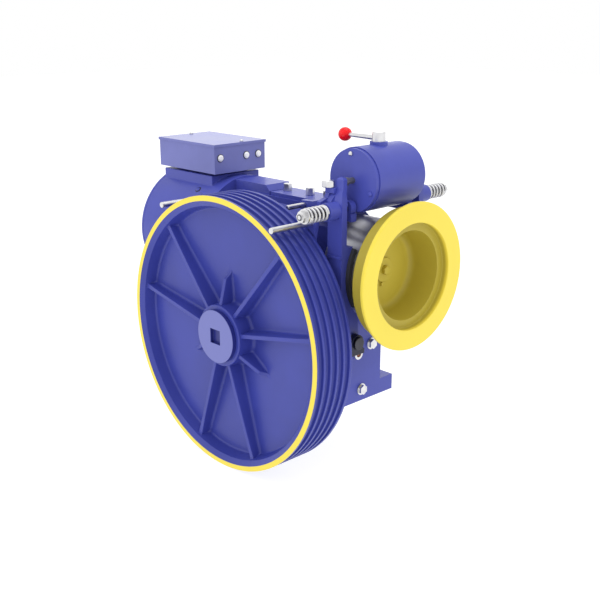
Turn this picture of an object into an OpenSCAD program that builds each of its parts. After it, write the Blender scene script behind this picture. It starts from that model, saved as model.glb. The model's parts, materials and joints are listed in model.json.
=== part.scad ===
// Geared elevator traction machine: a worm gearbox on two foot rails, a motor on one end of
// the worm shaft, a drum brake and a hand flywheel on the other, and an overhung rope sheave.
// +X runs along the worm shaft towards the flywheel, -Y towards the sheave, +Z up.
// The origin is the middle of the four foot bolts, on the plane the feet stand on.

/* [Gears] */
// Height of the sheave shaft above the feet
shaft_height = 178; // [170:1:190]
// Distance between the sheave shaft and the worm shaft
centre_distance = 144; // [142:1:148]
// Teeth on the worm wheel
wheel_teeth = 35; // [34:1:35]
// Module of the worm and its wheel
gear_module = 6.4; // [6.2:0.1:6.5]
// Play between the teeth at the pitch line
backlash = 0.6; // [0.5:0.1:1]
// Width of the worm wheel's bronze rim
wheel_w = 40; // [30:1:44]
// Length of the worm's thread
worm_l = 100; // [90:1:110]

/* [Sheave] */
// Radius of the sheave
sheave_r = 290; // [280:1:300]
// Width of the sheave's rim
sheave_w = 96; // [94:1:106]
// Distance from the worm shaft to the back of the rim
sheave_back = 142; // [141:1:150]
// Width of the flat ring on the front edge
ring_w = 11; // [9:0.5:13]
// Number of rope grooves
groove_count = 5; // [3:1:5]
// Distance from one rope groove to the next
groove_pitch = 17.5; // [16:0.5:18]
// Radius of a rope groove
groove_r = 5.5; // [4.5:0.5:6]
// Depth of the dished front, from the ring to the web
dish_depth = 36; // [30:1:42]
// Thickness of the web
web_t = 14; // [10:1:18]
// Radius of the hub
hub_r = 65; // [61:1:69]
// Thickness of a rib
rib_t = 11; // [8:1:14]
// Half the angle between the two long ribs of a pair
rib_spread = 19; // [16:1:22]
// Radius that the short gussets reach
gusset_reach = 132; // [115:1:150]
// Radius of the plate on the end of the sheave shaft
end_plate_r = 56; // [51:1:60]
// Thickness of that plate
end_plate_t = 10; // [8:1:12]
// Side of the square pocket in that plate
pocket_side = 31; // [26:1:36]

/* [Shafts and bearings] */
// Radius of the sheave shaft
main_shaft_r = 45; // [42:1:47]
// Outer radius of its bearings
main_bearing_r = 72; // [70:1:75]
// Width of its bearings
main_bearing_w = 30; // [24:1:32]
// Radius of the worm shaft
worm_shaft_r = 20; // [18:0.5:20]
// Outer radius of the worm shaft's bearings
worm_bearing_r = 45; // [42:1:47]
// Width of the worm shaft's bearings
worm_bearing_w = 23; // [18:1:24]
// Clearance all round a shaft in its running seat
run_fit = 0.05; // [0.03:0.01:0.08]

/* [Gearbox] */
// Length of the gearbox along the worm
box_l = 300; // [290:2:310]
// Width of its lower part
box_w = 200; // [190:2:204]
// Height of its lower part
box_h = 262; // [255:1:275]
// Thickness of its walls
box_wall = 20; // [16:1:22]
// Width of the worm tunnel on top
tunnel_w = 124; // [116:2:130]
// Height of the tunnel's top above the worm shaft
tunnel_rise = 115; // [109:1:121]
// Thickness of the foot rails
foot_t = 35; // [28:1:40]
// Distance between the foot bolts along the worm
foot_pitch_x = 250; // [230:2:260]
// Distance between the foot bolts across the worm
foot_pitch_y = 232; // [226:2:236]
// Radius of the foot bolt holes
foot_hole_r = 9; // [7:0.5:10]
// Length of the inspection cover on a gearbox 300 long
cover_l = 150; // [140:2:156]
// Thickness of the inspection cover
cover_t = 8; // [6:1:10]

/* [Motor] */
// Radius of the motor frame
motor_r = 138; // [132:1:139]
// Length of the motor frame
motor_l = 207; // [195:1:220]
// Thickness of the motor frame
motor_wall = 8; // [6:1:10]
// Gap between the gearbox and the motor frame, bridged by the adapter
adapter_l = 40; // [32:1:50]
// Radius of the rotor
rotor_r = 90; // [80:1:95]
// Length of the rotor and the stator
core_l = 110; // [90:1:120]

/* [Terminal box] */
// Length of the terminal box along the motor
tbox_l = 205; // [190:1:220]
// Width of the terminal box
tbox_w = 149; // [135:1:160]
// Height of the terminal box with its lid
tbox_h = 66; // [58:1:74]
// Thickness of its sheet
sheet_t = 3; // [2:0.5:4]
// Radius of a cable entry plug
plug_r = 9; // [7:0.5:10]

/* [Brake] */
// Distance from the gearbox's end to the middle of the brake
brake_x = 68; // [66:1:72]
// Radius of the brake drum
drum_r = 100; // [96:1:102]
// Length of the brake drum
drum_l = 93; // [88:1:95]
// Thickness of a brake lining
lining_t = 8; // [6:0.5:10]
// Play between the lining and the drum
lining_gap = 0.35; // [0.3:0.05:0.6]
// Half the angle that a lining covers
lining_half_angle = 33; // [28:1:36]
// Width of a brake arm
arm_w = 38; // [34:1:40]
// Thickness of a brake arm behind its lining
arm_t = 12; // [11:1:14]
// Height of the arm pivots below the worm shaft
pivot_drop = 133; // [130:1:138]
// Distance of the arm pivots from the middle plane
pivot_y = 85; // [80:1:90]
// Radius of the arm pivot pins
pin_r = 9; // [8:0.5:10]
// Radius of the coil of a brake spring
spring_r = 13.3; // [12.5:0.1:14]
// Radius of its wire
wire_r = 2.2; // [1.8:0.1:2.4]
// Length of a brake spring
spring_l = 52; // [48:1:56]
// Turns of a brake spring
spring_turns = 6; // [5:1:6]
// Radius of the tie rods
tie_r = 6; // [5:0.5:7]

/* [Brake magnet] */
// Radius of the magnet
magnet_r = 63; // [60:1:66]
// Length of the magnet
magnet_l = 144; // [136:2:150]
// Height of the magnet's middle above the worm shaft
magnet_rise = 186; // [184:1:192]
// Radius of the push rods
push_r = 6; // [5:0.5:7]
// Radius of the boss under the release lever
boss_r = 17.5; // [15:0.5:20]
// Length of the release lever, from its hub to its ball
lever_l = 90; // [80:1:110]
// Radius of the lever's ball
ball_r = 14; // [11:0.5:15]

/* [Flywheel] */
// Radius of the flywheel
fly_r = 148; // [142:1:150]
// Inner radius of its flat ring
fly_in_r = 107; // [104:1:110]
// Thickness of its ring
fly_ring_t = 22; // [18:1:26]
// Distance from the gearbox's end to the flywheel's face
fly_face = 169; // [164:1:176]

/* [Rope guard] */
// Radius of the guard rods
guard_r = 6; // [5:0.5:6]
// Gap between the guard rods and the sheave
guard_gap = 7; // [6:0.5:10]
// Angle of the guard rods from the vertical
guard_angle = 34.5; // [33:0.5:35]

/* [Hidden] */

$fn = 64;
blue = [0.26, 0.28, 0.68];
yellow = [0.96, 0.86, 0.3];
steel = [0.75, 0.76, 0.78];
iron = [0.4, 0.41, 0.43];
bronze = [0.72, 0.5, 0.25];
copper = [0.75, 0.42, 0.25];
dark = [0.12, 0.12, 0.14];
eps = 0.01;       // how far a cut runs past the face it opens
seat = 0.05;      // clearance between two pieces that bolt or press together

// Heights and faces that several pieces share
worm_z = shaft_height + centre_distance;
box_x = box_l / 2;
box_y = box_w / 2;
tunnel_y = tunnel_w / 2;
brake_mid = box_x + brake_x;
fly_front = box_x + fly_face;
deck_z = worm_z + tunnel_rise;
deck_y = tunnel_y - 24;     // half width of the flat on top of the tunnel
cover_top = deck_z + cover_t;
sheave_front = -sheave_back - sheave_w;
wheel_room = tunnel_y - 14;    // half width of the space the worm wheel turns in

// Gear geometry: an involute wheel and a straight-sided single-start worm
pressure_angle = 20;
wheel_pitch_r = wheel_teeth * gear_module / 2;
worm_pitch_r = centre_distance - wheel_pitch_r;
addendum = gear_module;
dedendum = 1.15 * gear_module;
axial_pitch = PI * gear_module;
wheel_tip_r = wheel_pitch_r + addendum;
wheel_root_r = wheel_pitch_r - dedendum;
worm_tip_r = worm_pitch_r + addendum;
worm_root_r = worm_pitch_r - dedendum;
wheel_base_r = wheel_pitch_r * cos(pressure_angle);
tooth_depth_below = 9;      // bronze left under the teeth
rim_seat_r = wheel_root_r - tooth_depth_below;
rim_seat_gap = 0.4;
worm_turn_slices = 16;
wheel_chamber_r = wheel_tip_r + 9;
tunnel_bore_r = worm_tip_r + 12;

// Bearing caps and their bolts
boss_t = 18;
cap_t = 8;
main_cap_r = main_bearing_r + 19;
main_cap_pitch_r = main_bearing_r + 11;
front_boss_y = box_y + boss_t;
spigot = 4;
worm_cap_r = worm_bearing_r + 17;
worm_cap_pitch_r = worm_bearing_r + 9;
worm_cap_t = 8;
worm_wall = spigot + worm_bearing_w + 9;
bolt_r = 4;
bolt_head = 6;
bolt_depth = 12;

// Motor along the worm shaft, towards -X
frame_near = -box_x - adapter_l;
frame_far = frame_near - motor_l;
end_shield_t = 12;
motor_end = frame_far - end_shield_t;
pad_rise = motor_r + 3;     // top of the motor's flat pad above the worm shaft
core_x = (frame_near + frame_far) / 2 - 4;
stator_gap = 1;
adapter_flange_t = 12;
adapter_neck_r = 118;
adapter_flange_r = motor_r + 1.5;
block_y = 34;               // half width of the raised block where the adapter meets the gearbox
block_x = -box_x / 2;
block_rise = 135;
block_slope = 12;

// Terminal box on the motor's pad
tbox_x = frame_near - 0.541 * motor_l;
tbox_gap = 6;
tbox_z = worm_z + pad_rise + tbox_gap;
lid_t = 6;

// Brake
magnet_z = worm_z + magnet_rise;
pivot_z = worm_z - pivot_drop;
lining_in_r = drum_r + lining_gap;
lining_out_r = lining_in_r + lining_t;
arm_face_y = lining_out_r + arm_t;
arm_top_in_y = magnet_l / 2 + 25;
arm_top_z = magnet_z + 9;
spring_z = magnet_z - 52;
spring_seat_t = 27;
spring_boss_r = spring_r + wire_r + 2;
spring_seat_y = arm_face_y + spring_seat_t;
washer_t = 3;
tie_nut_t = 9;
tie_end_y = spring_seat_y + spring_l + washer_t + tie_nut_t + 3;
cheek_t = 14;
cheek_y = magnet_l / 2 + 4;
eye_r = 17;
ear_t = 12;
arm_side_play = 2;
plunger_core_r = 15;
plunger_travel_room = 6;
push_nut_gap = 16;
push_nut_r = 9;

// Brake drum and flywheel on the worm shaft
drum_x = box_x + worm_cap_t + 7;
drum_end = drum_x + drum_l;
drum_rim_t = 12;
drum_seat_x = brake_mid + 8;
fly_plate_t = 12;
fly_wall_t = 8;
fly_inner_r = drum_r - drum_rim_t - 4;
fly_cup_r = fly_in_r - 17;
fly_well_r = fly_inner_r - fly_wall_t;
fly_ledge_x = fly_front - 15;
fly_floor = drum_seat_x + fly_plate_t;
fly_shoulder = drum_end + 4;
shaft_end_x = fly_floor - 1;
end_bolt_r = 5.3;
end_bolt_depth = 22;

// Inspection cover and the magnet bracket's foot, both bolted to the deck
cover_len = cover_l * box_l / 300;
cover_x = -0.4 * box_x;
cover_half_y = deck_y - 4;
deck_bolt_x = [cover_x + 18, cover_x + 0.587 * cover_len, cover_x + cover_len - 11];
deck_bolt_r = 5.2;
deck_bolt_depth = 20;
deck_washer_r = 10;
opening_x = [deck_bolt_x[0] + 14, deck_bolt_x[1] - 14];
opening_y = 22;
bracket_t = 12;
bracket_bolt_x = [cover_x + cover_len + 13, box_x - 12];
saddle_y = 34;              // inner faces of the two webs under the magnet
saddle_t = 16;
bracket_bolt_y = saddle_y - 14;

// Rope guard rods
guard_dist = sheave_r + guard_gap + guard_r;
guard_x = guard_dist * sin(guard_angle);
guard_z = shaft_height + guard_dist * cos(guard_angle);
guard_plate_y = sheave_back - 4;
guard_plate_t = 8;

// A slab drawn in X and Z that runs from one Y to another
module slab_y(from, to) {
    translate([0, to, 0]) rotate([90, 0, 0]) linear_extrude(to - from) children();
}

// A slab drawn in Y and Z that runs from one X to another
module slab_x(from, to) {
    translate([from, 0, 0]) rotate([90, 0, 90]) linear_extrude(to - from) children();
}

// Turned about the sheave shaft, drawn as radius and Y
module turned_y(x = 0, z = shaft_height) {
    translate([x, 0, z]) rotate([-90, 0, 0]) rotate_extrude($fn = 96) children();
}

// Turned about the worm shaft, drawn as radius and X
module turned_x() {
    translate([0, 0, worm_z]) rotate([0, 90, 0]) rotate_extrude($fn = 96) children();
}

// A plain cylinder along X or Y, from one end to the other
module rod_x(r, from, to, y = 0, z = worm_z) {
    translate([from, y, z]) rotate([0, 90, 0]) cylinder(r = r, h = to - from);
}

module rod_y(r, from, to, x = 0, z = shaft_height) {
    translate([x, from, z]) rotate([-90, 0, 0]) cylinder(r = r, h = to - from);
}

// A ring profile: radius range and length range
module ring_profile(r_in, r_out, from, to) {
    translate([r_in, from]) square([r_out - r_in, to - from]);
}

// A hexagon-head bolt standing on z = 0 with its shank pointing down
module hex_bolt(r = bolt_r, head = bolt_head, depth = bolt_depth) {
    cylinder(r = 1.85 * r, h = head, $fn = 6);
    translate([0, 0, -depth]) cylinder(r = r, h = depth + eps, $fn = 24);
}

module hex_nut(r, t) {
    difference() {
        cylinder(r = 1.85 * r, h = t, $fn = 6);
        translate([0, 0, -eps]) cylinder(r = r + seat, h = t + 2 * eps, $fn = 32);
    }
}

module both_sides() {
    children();
    mirror([0, 1, 0]) children();
}

// Places of the bolts, used for the bolts and for their holes
module at_ring(count, pitch_r, phase = 0) {
    for (k = [0 : count - 1]) {
        rotate([0, 0, phase + k * 360 / count]) translate([pitch_r, 0, 0]) children();
    }
}

module at_deck_bolts() {
    for (x = deck_bolt_x) {
        translate([x, 0, cover_top]) children();
    }
}

module at_bracket_bolts() {
    for (x = bracket_bolt_x) {
        for (side = [-1, 1]) {
            translate([x, side * bracket_bolt_y, deck_z + bracket_t]) children();
        }
    }
}

module at_foot_bolts() {
    for (x = [-1, 1]) {
        for (y = [-1, 1]) {
            translate([x * foot_pitch_x / 2, y * foot_pitch_y / 2, 0]) children();
        }
    }
}

module at_worm_cap_bolts() {
    translate([box_x + worm_cap_t, 0, worm_z]) rotate([0, 90, 0]) {
        at_ring(6, worm_cap_pitch_r, 30) children();
    }
}

module at_main_cap_bolts(side) {
    translate([0, side * (front_boss_y + cap_t), shaft_height]) rotate([-90 * side, 0, 0]) {
        at_ring(6, main_cap_pitch_r, 30) children();
    }
}

adapter_foot_r = worm_cap_r + 20;
adapter_foot_t = 10;
module at_adapter_bolts() {
    translate([-box_x - adapter_foot_t, 0, worm_z]) rotate([0, -90, 0]) {
        at_ring(6, adapter_foot_r - 10, 30) children();
    }
}

// ---- Gearbox ----

foot_front_y = min(sheave_back - 7, foot_pitch_y / 2 + foot_hole_r + 8);
foot_rear_y = foot_pitch_y / 2 + foot_hole_r + 16;
sight_y = 25;
sight_z = 112;
sight_r = 12;
drain_z = 27;
drain_y = 38;
level_y = 67;
level_z = 126;
plug_thread_r = 7;

module housing_outline() {
    polygon([
        [-box_x, 0], [box_x, 0], [box_x, box_h - 44], [box_x - 30, box_h],
        [-box_x + 30, box_h], [-box_x, box_h - 44]
    ]);
}

module tunnel_outline() {
    edge = 12;
    flank = 34;
    polygon([
        [-tunnel_y, box_h - 60], [tunnel_y, box_h - 60], [tunnel_y, deck_z - flank],
        [deck_y, deck_z - edge], [deck_y, deck_z], [-deck_y, deck_z], [-deck_y, deck_z - edge],
        [-tunnel_y, deck_z - flank]
    ]);
}

module housing_body() {
    slab_y(-box_y, box_y) housing_outline();
    slab_x(-box_x, box_x) tunnel_outline();
    rod_x(worm_cap_r + 2, box_x - worm_wall, box_x);
    rod_x(adapter_foot_r, -box_x, -box_x + worm_wall);
    rod_y(main_cap_r, -front_boss_y, front_boss_y);
    translate([-box_x, -foot_front_y, 0]) cube([box_l, foot_front_y + foot_rear_y, foot_t]);
    slab_y(-block_y, block_y) polygon([
        [-box_x, worm_z], [block_x + block_slope, worm_z],
        [block_x + block_slope, worm_z + block_rise - block_slope], [block_x, worm_z + block_rise],
        [-box_x, worm_z + block_rise]
    ]);
}

module gearbox_housing() {
    color(blue) difference() {
        housing_body();
        rod_y(wheel_chamber_r, -wheel_room, wheel_room);
        rod_x(tunnel_bore_r, -box_x + worm_wall, box_x - worm_wall);
        rod_x(worm_bearing_r + seat, -box_x - eps, box_x + eps);
        rod_y(main_bearing_r + seat, -front_boss_y - eps, front_boss_y + eps);
        translate([opening_x[0], -opening_y, worm_z]) {
            cube([opening_x[1] - opening_x[0], 2 * opening_y, tunnel_rise + eps]);
        }
        at_foot_bolts() translate([0, 0, -eps]) cylinder(r = foot_hole_r, h = foot_t + 2 * eps);
        at_deck_bolts() bolt_hole(deck_bolt_r, deck_bolt_depth);
        at_bracket_bolts() bolt_hole();
        at_worm_cap_bolts() bolt_hole();
        at_main_cap_bolts(1) bolt_hole();
        at_main_cap_bolts(-1) bolt_hole();
        at_adapter_bolts() bolt_hole();
        rod_x(sight_r - 3, box_x - box_wall - 12, box_x + eps, sight_y, sight_z);
        rod_x(plug_thread_r + seat, box_x - box_wall - 12, box_x + eps, drain_y, drain_z);
        rod_x(plug_thread_r + seat, box_x - box_wall - 12, box_x + eps, level_y, level_z);
    }
}

bolt_hole_extra = 2;
module bolt_hole(r = bolt_r, depth = bolt_depth) {
    translate([0, 0, -depth - bolt_hole_extra]) {
        cylinder(r = r + seat, h = depth + bolt_hole_extra + 1, $fn = 24);
    }
}

module inspection_cover() {
    color(blue) difference() {
        translate([cover_x, -cover_half_y, deck_z]) {
            cube([cover_len, 2 * cover_half_y, cover_t]);
        }
        at_deck_bolts() bolt_hole(deck_bolt_r, deck_bolt_depth);
    }
}

module deck_bolts() {
    color(steel) {
        at_deck_bolts() {
            hex_bolt(deck_bolt_r, 16, deck_bolt_depth);
            cylinder(r = deck_washer_r, h = 5);
        }
        at_bracket_bolts() hex_bolt();
    }
}

module oil_sight_ring() {
    color(steel) difference() {
        union() {
            rod_x(sight_r, box_x, box_x + 4, sight_y, sight_z);
            rod_x(sight_r - 3 - seat, box_x - box_wall, box_x + eps, sight_y, sight_z);
        }
        rod_x(sight_r - 5, box_x - box_wall - eps, box_x + 5, sight_y, sight_z);
    }
}

module oil_sight_glass() {
    color([0.45, 0.2, 0.05]) {
        rod_x(sight_r - 5 - seat, box_x - box_wall + 4, box_x + 2, sight_y, sight_z);
    }
}

module housing_plug(y, z) {
    color(steel) translate([box_x, y, z]) rotate([0, 90, 0]) {
        cylinder(r = plug_thread_r + 6, h = 2, $fn = 48);
        translate([0, 0, 2]) cylinder(r = plug_thread_r + 4, h = 7, $fn = 6);
        translate([0, 0, -box_wall]) cylinder(r = plug_thread_r, h = box_wall + eps);
    }
}

module drain_plug() {
    housing_plug(drain_y, drain_z);
}

module level_plug() {
    housing_plug(level_y, level_z);
}

seal_r = main_shaft_r + 12;
seal_w = 7;
module front_bearing_cap() {
    far = -front_boss_y;
    color(blue) difference() {
        turned_y() polygon([
            [main_shaft_r + 2, far - cap_t], [main_cap_r, far - cap_t], [main_cap_r, far],
            [main_bearing_r, far], [main_bearing_r, far + spigot],
            [main_shaft_r + 6, far + spigot], [main_shaft_r + 6, far + 1],
            [main_shaft_r + 2, far + 1]
        ]);
        rod_y(seal_r, far - cap_t + 2, far + spigot + eps);
        at_main_cap_bolts(-1) bolt_hole();
    }
}

module rear_bearing_cover() {
    near = front_boss_y;
    dome = main_bearing_r - 6;
    color(blue) difference() {
        turned_y() polygon([
            [0, near + 6], [main_bearing_r - 8, near + 6], [main_bearing_r - 8, near - spigot],
            [main_bearing_r, near - spigot], [main_bearing_r, near], [main_cap_r, near],
            [main_cap_r, near + cap_t], [dome + 4, near + cap_t], [dome, near + cap_t + 6],
            [0, near + cap_t + 6]
        ]);
        at_main_cap_bolts(1) bolt_hole();
    }
}

module bearing_cap_bolts() {
    color(steel) {
        at_main_cap_bolts(1) hex_bolt();
        at_main_cap_bolts(-1) hex_bolt();
        at_worm_cap_bolts() hex_bolt();
    }
}

// A ball bearing as its two races and the ring of balls between them
module bearing_profile(r_in, r_out, from, w) {
    third = (r_out - r_in) / 3;
    ring_profile(r_in, r_in + third, from, from + w);
    ring_profile(r_out - third, r_out, from, from + w);
    translate([(r_in + r_out) / 2, from + w / 2]) circle(r = min(third * 0.62, w / 2 - 1));
}

main_bearing_y = front_boss_y - spigot - main_bearing_w;
module front_main_bearing() {
    color(steel) turned_y() {
        bearing_profile(main_shaft_r + run_fit, main_bearing_r, -main_bearing_y - main_bearing_w,
            main_bearing_w);
    }
}

module rear_main_bearing() {
    color(steel) turned_y() {
        bearing_profile(main_shaft_r + run_fit, main_bearing_r, main_bearing_y, main_bearing_w);
    }
}

worm_bearing_x = box_x - spigot - worm_bearing_w;
tail_bearing_r = worm_bearing_r - 8;
tail_bearing_w = 16;
tail_bearing_x = frame_far + 6;
module worm_bearings() {
    color(steel) turned_x() {
        bearing_profile(worm_shaft_r + run_fit, worm_bearing_r, worm_bearing_x, worm_bearing_w);
        bearing_profile(worm_shaft_r + run_fit, worm_bearing_r, -worm_bearing_x - worm_bearing_w,
            worm_bearing_w);
        bearing_profile(worm_shaft_r + run_fit, tail_bearing_r, tail_bearing_x, tail_bearing_w);
    }
}

worm_seal_r = worm_shaft_r + 10;
module worm_end_cap() {
    color(blue) difference() {
        turned_x() {
            ring_profile(worm_shaft_r + 2, worm_cap_r, box_x, box_x + worm_cap_t);
            ring_profile(worm_shaft_r + 6, worm_bearing_r, box_x - spigot, box_x + eps);
        }
        rod_x(worm_seal_r, box_x - spigot - eps, box_x + worm_cap_t - 2);
        at_worm_cap_bolts() bolt_hole();
    }
}

// Lip seals: one round each shaft where it leaves the gearbox
module shaft_seals() {
    color(dark) {
        turned_y() {
            ring_profile(main_shaft_r + run_fit, seal_r - seat, -front_boss_y - cap_t + 2,
                -front_boss_y - cap_t + 2 + seal_w);
        }
        turned_x() {
            ring_profile(worm_shaft_r + run_fit, worm_seal_r - seat, box_x - 1,
                box_x + worm_cap_t - 2);
        }
    }
}

// ---- Motor ----

block_under = 112;
module motor_adapter() {
    foot = -box_x;
    inner = foot - adapter_foot_t;
    lip = 4;
    color(blue) difference() {
        union() {
            turned_x() polygon([
                [worm_shaft_r + 6, inner], [worm_shaft_r + 6, foot + spigot],
                [worm_bearing_r, foot + spigot], [worm_bearing_r, foot], [adapter_foot_r, foot],
                [adapter_foot_r, foot - 4], [adapter_neck_r, frame_near + adapter_flange_t],
                [adapter_flange_r, frame_near + adapter_flange_t], [adapter_flange_r, frame_near],
                [motor_r - motor_wall - seat, frame_near],
                [motor_r - motor_wall - seat, frame_near - lip],
                [adapter_neck_r - 8, frame_near - lip], [adapter_neck_r - 8, frame_near + 4],
                [adapter_foot_r - 1, inner]
            ]);
            translate([frame_near + adapter_flange_t - 1, -block_y, worm_z + block_under]) {
                cube([adapter_l - adapter_flange_t + 1, 2 * block_y, block_rise - block_under]);
            }
        }
        at_adapter_bolts() bolt_hole();
    }
}

module adapter_bolts() {
    color(steel) at_adapter_bolts() hex_bolt();
}

pad_x = [frame_far + 3, frame_near - 26];
pad_y = 70;
module motor_frame() {
    color(blue) difference() {
        union() {
            rod_x(motor_r, frame_far, frame_near - seat);
            translate([pad_x[0], -pad_y, worm_z + 60]) {
                cube([pad_x[1] - pad_x[0], 2 * pad_y, pad_rise - 60]);
            }
        }
        rod_x(motor_r - motor_wall, frame_far - eps, frame_near + eps);
        translate([tbox_x - 20, -20, worm_z + 60]) cube([40, 40, pad_rise]);
    }
}

module motor_end_shield() {
    edge = 5;
    color(blue) turned_x() polygon([
        [0, motor_end], [motor_r - edge, motor_end], [motor_r, motor_end + edge],
        [motor_r, frame_far], [motor_r - motor_wall - seat, frame_far],
        [motor_r - motor_wall - seat, frame_far + 4], [tail_bearing_r + 8, frame_far + 4],
        [tail_bearing_r + 8, tail_bearing_x + tail_bearing_w],
        [tail_bearing_r + seat, tail_bearing_x + tail_bearing_w],
        [tail_bearing_r + seat, motor_end + 8], [0, motor_end + 8]
    ]);
}

module stator_core() {
    color(iron) turned_x() {
        ring_profile(rotor_r + stator_gap, motor_r - motor_wall - seat, core_x - core_l / 2,
            core_x + core_l / 2);
    }
}

winding_r = 9;
module stator_windings() {
    middle = (rotor_r + motor_r - motor_wall) / 2 + 2;
    color(copper) turned_x() {
        for (side = [-1, 1]) {
            translate([middle, core_x + side * (core_l / 2 + winding_r)]) circle(r = winding_r);
        }
    }
}

// ---- Terminal box ----

tbox_body_h = tbox_h - lid_t;
riser_inset = 30;
module terminal_box() {
    color(blue) difference() {
        union() {
            translate([tbox_x - tbox_l / 2, -tbox_w / 2, tbox_z]) cube([tbox_l, tbox_w, tbox_body_h]);
            translate([tbox_x, 0, tbox_z - (tbox_gap - seat) / 2]) {
                cube([tbox_l - 2 * riser_inset, tbox_w - 2 * riser_inset, tbox_gap - seat], true);
            }
        }
        translate([tbox_x - tbox_l / 2 + sheet_t, -tbox_w / 2 + sheet_t, tbox_z + sheet_t]) {
            cube([tbox_l - 2 * sheet_t, tbox_w - 2 * sheet_t, tbox_h]);
        }
        translate([tbox_x - 20, -20, tbox_z - tbox_gap - eps]) cube([40, 40, tbox_h]);
        at_entry_plugs() translate([0, 0, -sheet_t - eps]) {
            cylinder(r = plug_r - 2, h = sheet_t + 2 * eps);
        }
    }
}

module terminal_box_lid() {
    over = 2;
    color(blue) difference() {
        translate([tbox_x - tbox_l / 2 - over, -tbox_w / 2 - over, tbox_z + tbox_body_h + seat]) {
            cube([tbox_l + 2 * over, tbox_w + 2 * over, lid_t - seat]);
        }
        at_lid_screws() translate([0, 0, -lid_t]) cylinder(r = 2.5 + seat, h = lid_t + eps, $fn = 24);
    }
}

module at_lid_screws() {
    for (x = [-1, 1]) {
        translate([tbox_x + 0.455 * x * tbox_l, 0.08 * tbox_w, tbox_z + tbox_h]) children();
    }
}

module lid_screws() {
    color(steel) at_lid_screws() {
        cylinder(r = 4.5, h = 4);
        translate([0, 0, -lid_t - 8]) cylinder(r = 2.5, h = lid_t + 8 + eps, $fn = 24);
    }
}

module at_entry_plugs() {
    for (share = [-0.39, 0.12, 0.36]) {
        translate([tbox_x + tbox_l / 2, share * tbox_w, tbox_z + 0.53 * tbox_h]) {
            rotate([0, 90, 0]) children();
        }
    }
}

module cable_entry_plugs() {
    color([0.92, 0.92, 0.92]) at_entry_plugs() {
        cylinder(r = plug_r, h = 4);
        translate([0, 0, -sheet_t - 5]) cylinder(r = plug_r - 2 - seat, h = sheet_t + 5 + eps);
    }
}

module terminal_block() {
    color(dark) difference() {
        translate([tbox_x - 60, -18, tbox_z + sheet_t + seat]) cube([34, 36, 22]);
        for (y = [-12, 0, 12]) {
            translate([tbox_x - 43, y, tbox_z + sheet_t + 12]) cylinder(r = 3, h = 22);
        }
    }
}

// ---- Brake magnet and what carries it ----

cheek_x = [cover_x + cover_len + 3, brake_mid + 15];
module cheek_outline() {
    base = deck_z;
    polygon([
        [cheek_x[0], base], [box_x + 14, base], [box_x + 22, base - 6], [cheek_x[1], base - 6],
        [cheek_x[1], base + 40],
        [cheek_x[1] - 34, base + 40], [cheek_x[0] + 34, base + 20],
        [cheek_x[0], base + bracket_t + 6]
    ]);
}

module bracket_plates() {
    for (side = [-1, 1]) {
        slab_y(side * cheek_y + min(0, side * cheek_t), side * cheek_y + max(0, side * cheek_t)) {
            cheek_outline();
        }
    }
    translate([cheek_x[0], -cheek_y - cheek_t, deck_z]) {
        cube([box_x + 12 - cheek_x[0], 2 * (cheek_y + cheek_t), bracket_t]);
    }
    for (y = [-saddle_y - saddle_t, saddle_y]) {
        slab_y(y, y + saddle_t) polygon([
            [cheek_x[0] + 30, deck_z], [box_x + 12, deck_z],
            [brake_mid - magnet_r * sin(60), magnet_z - magnet_r * cos(60) + 4],
            [brake_mid - magnet_r - 10, magnet_z - 10], [cheek_x[0] + 45, deck_z + 30]
        ]);
    }
}

module magnet_bracket() {
    color(blue) difference() {
        union() {
            difference() {
                bracket_plates();
                rod_y(magnet_r + seat, -magnet_l, magnet_l, brake_mid, magnet_z);
            }
            both_sides() rod_y(tie_r + 9, cheek_y, cheek_y + cheek_t, brake_mid, spring_z);
        }
        rod_y(tie_r + seat, -cheek_y - cheek_t - eps, cheek_y + cheek_t + eps, brake_mid, spring_z);
        at_bracket_bolts() bolt_hole();
    }
}

magnet_shell = 16;
magnet_cap_t = 9;
spindle_r = 6;
boss_top = magnet_z + magnet_r + 5;
module magnet_body() {
    half = magnet_l / 2 - magnet_cap_t;
    color(blue) difference() {
        union() {
            rod_y(magnet_r, -half, half, brake_mid, magnet_z);
            translate([brake_mid, 0, magnet_z]) cylinder(r = boss_r, h = boss_top - magnet_z);
        }
        rod_y(magnet_r - magnet_shell, -half - eps, half + eps, brake_mid, magnet_z);
        translate([brake_mid, 0, magnet_z]) cylinder(r = spindle_r + 0.08, h = magnet_r + 10);
        both_sides() at_cap_screws() translate([0, 0, -magnet_cap_t - 5]) {
            cylinder(r = 2.5 + seat, h = 6, $fn = 24);
        }
    }
}

module magnet_caps() {
    half = magnet_l / 2;
    color(blue) difference() {
        both_sides() turned_y(brake_mid, magnet_z) {
            ring_profile(push_r + run_fit + 0.02, magnet_r - 2, half - magnet_cap_t + seat, half);
            ring_profile(push_r + 8, magnet_r - magnet_shell - seat, half - magnet_cap_t - 4,
                half - magnet_cap_t + seat + eps);
        }
        both_sides() at_cap_screws() translate([0, 0, -14]) cylinder(r = 2.5 + seat, h = 15, $fn = 24);
    }
}

module at_cap_screws() {
    translate([brake_mid, magnet_l / 2, magnet_z]) rotate([-90, 0, 0]) {
        at_ring(3, magnet_r - 12, -96) children();
    }
}

module magnet_cap_screws() {
    color(steel) both_sides() at_cap_screws() {
        cylinder(r = 4.5, h = 5);
        translate([0, 0, -magnet_cap_t - 4]) cylinder(r = 2.5, h = magnet_cap_t + 4 + eps, $fn = 24);
    }
}

coil_gap = 8;
module magnet_coils() {
    inner = plunger_core_r + 1;
    outer = magnet_r - magnet_shell - seat;
    far = magnet_l / 2 - magnet_cap_t - 4;
    color(copper) both_sides() turned_y(brake_mid, magnet_z) ring_profile(inner, outer, coil_gap, far);
}

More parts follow.
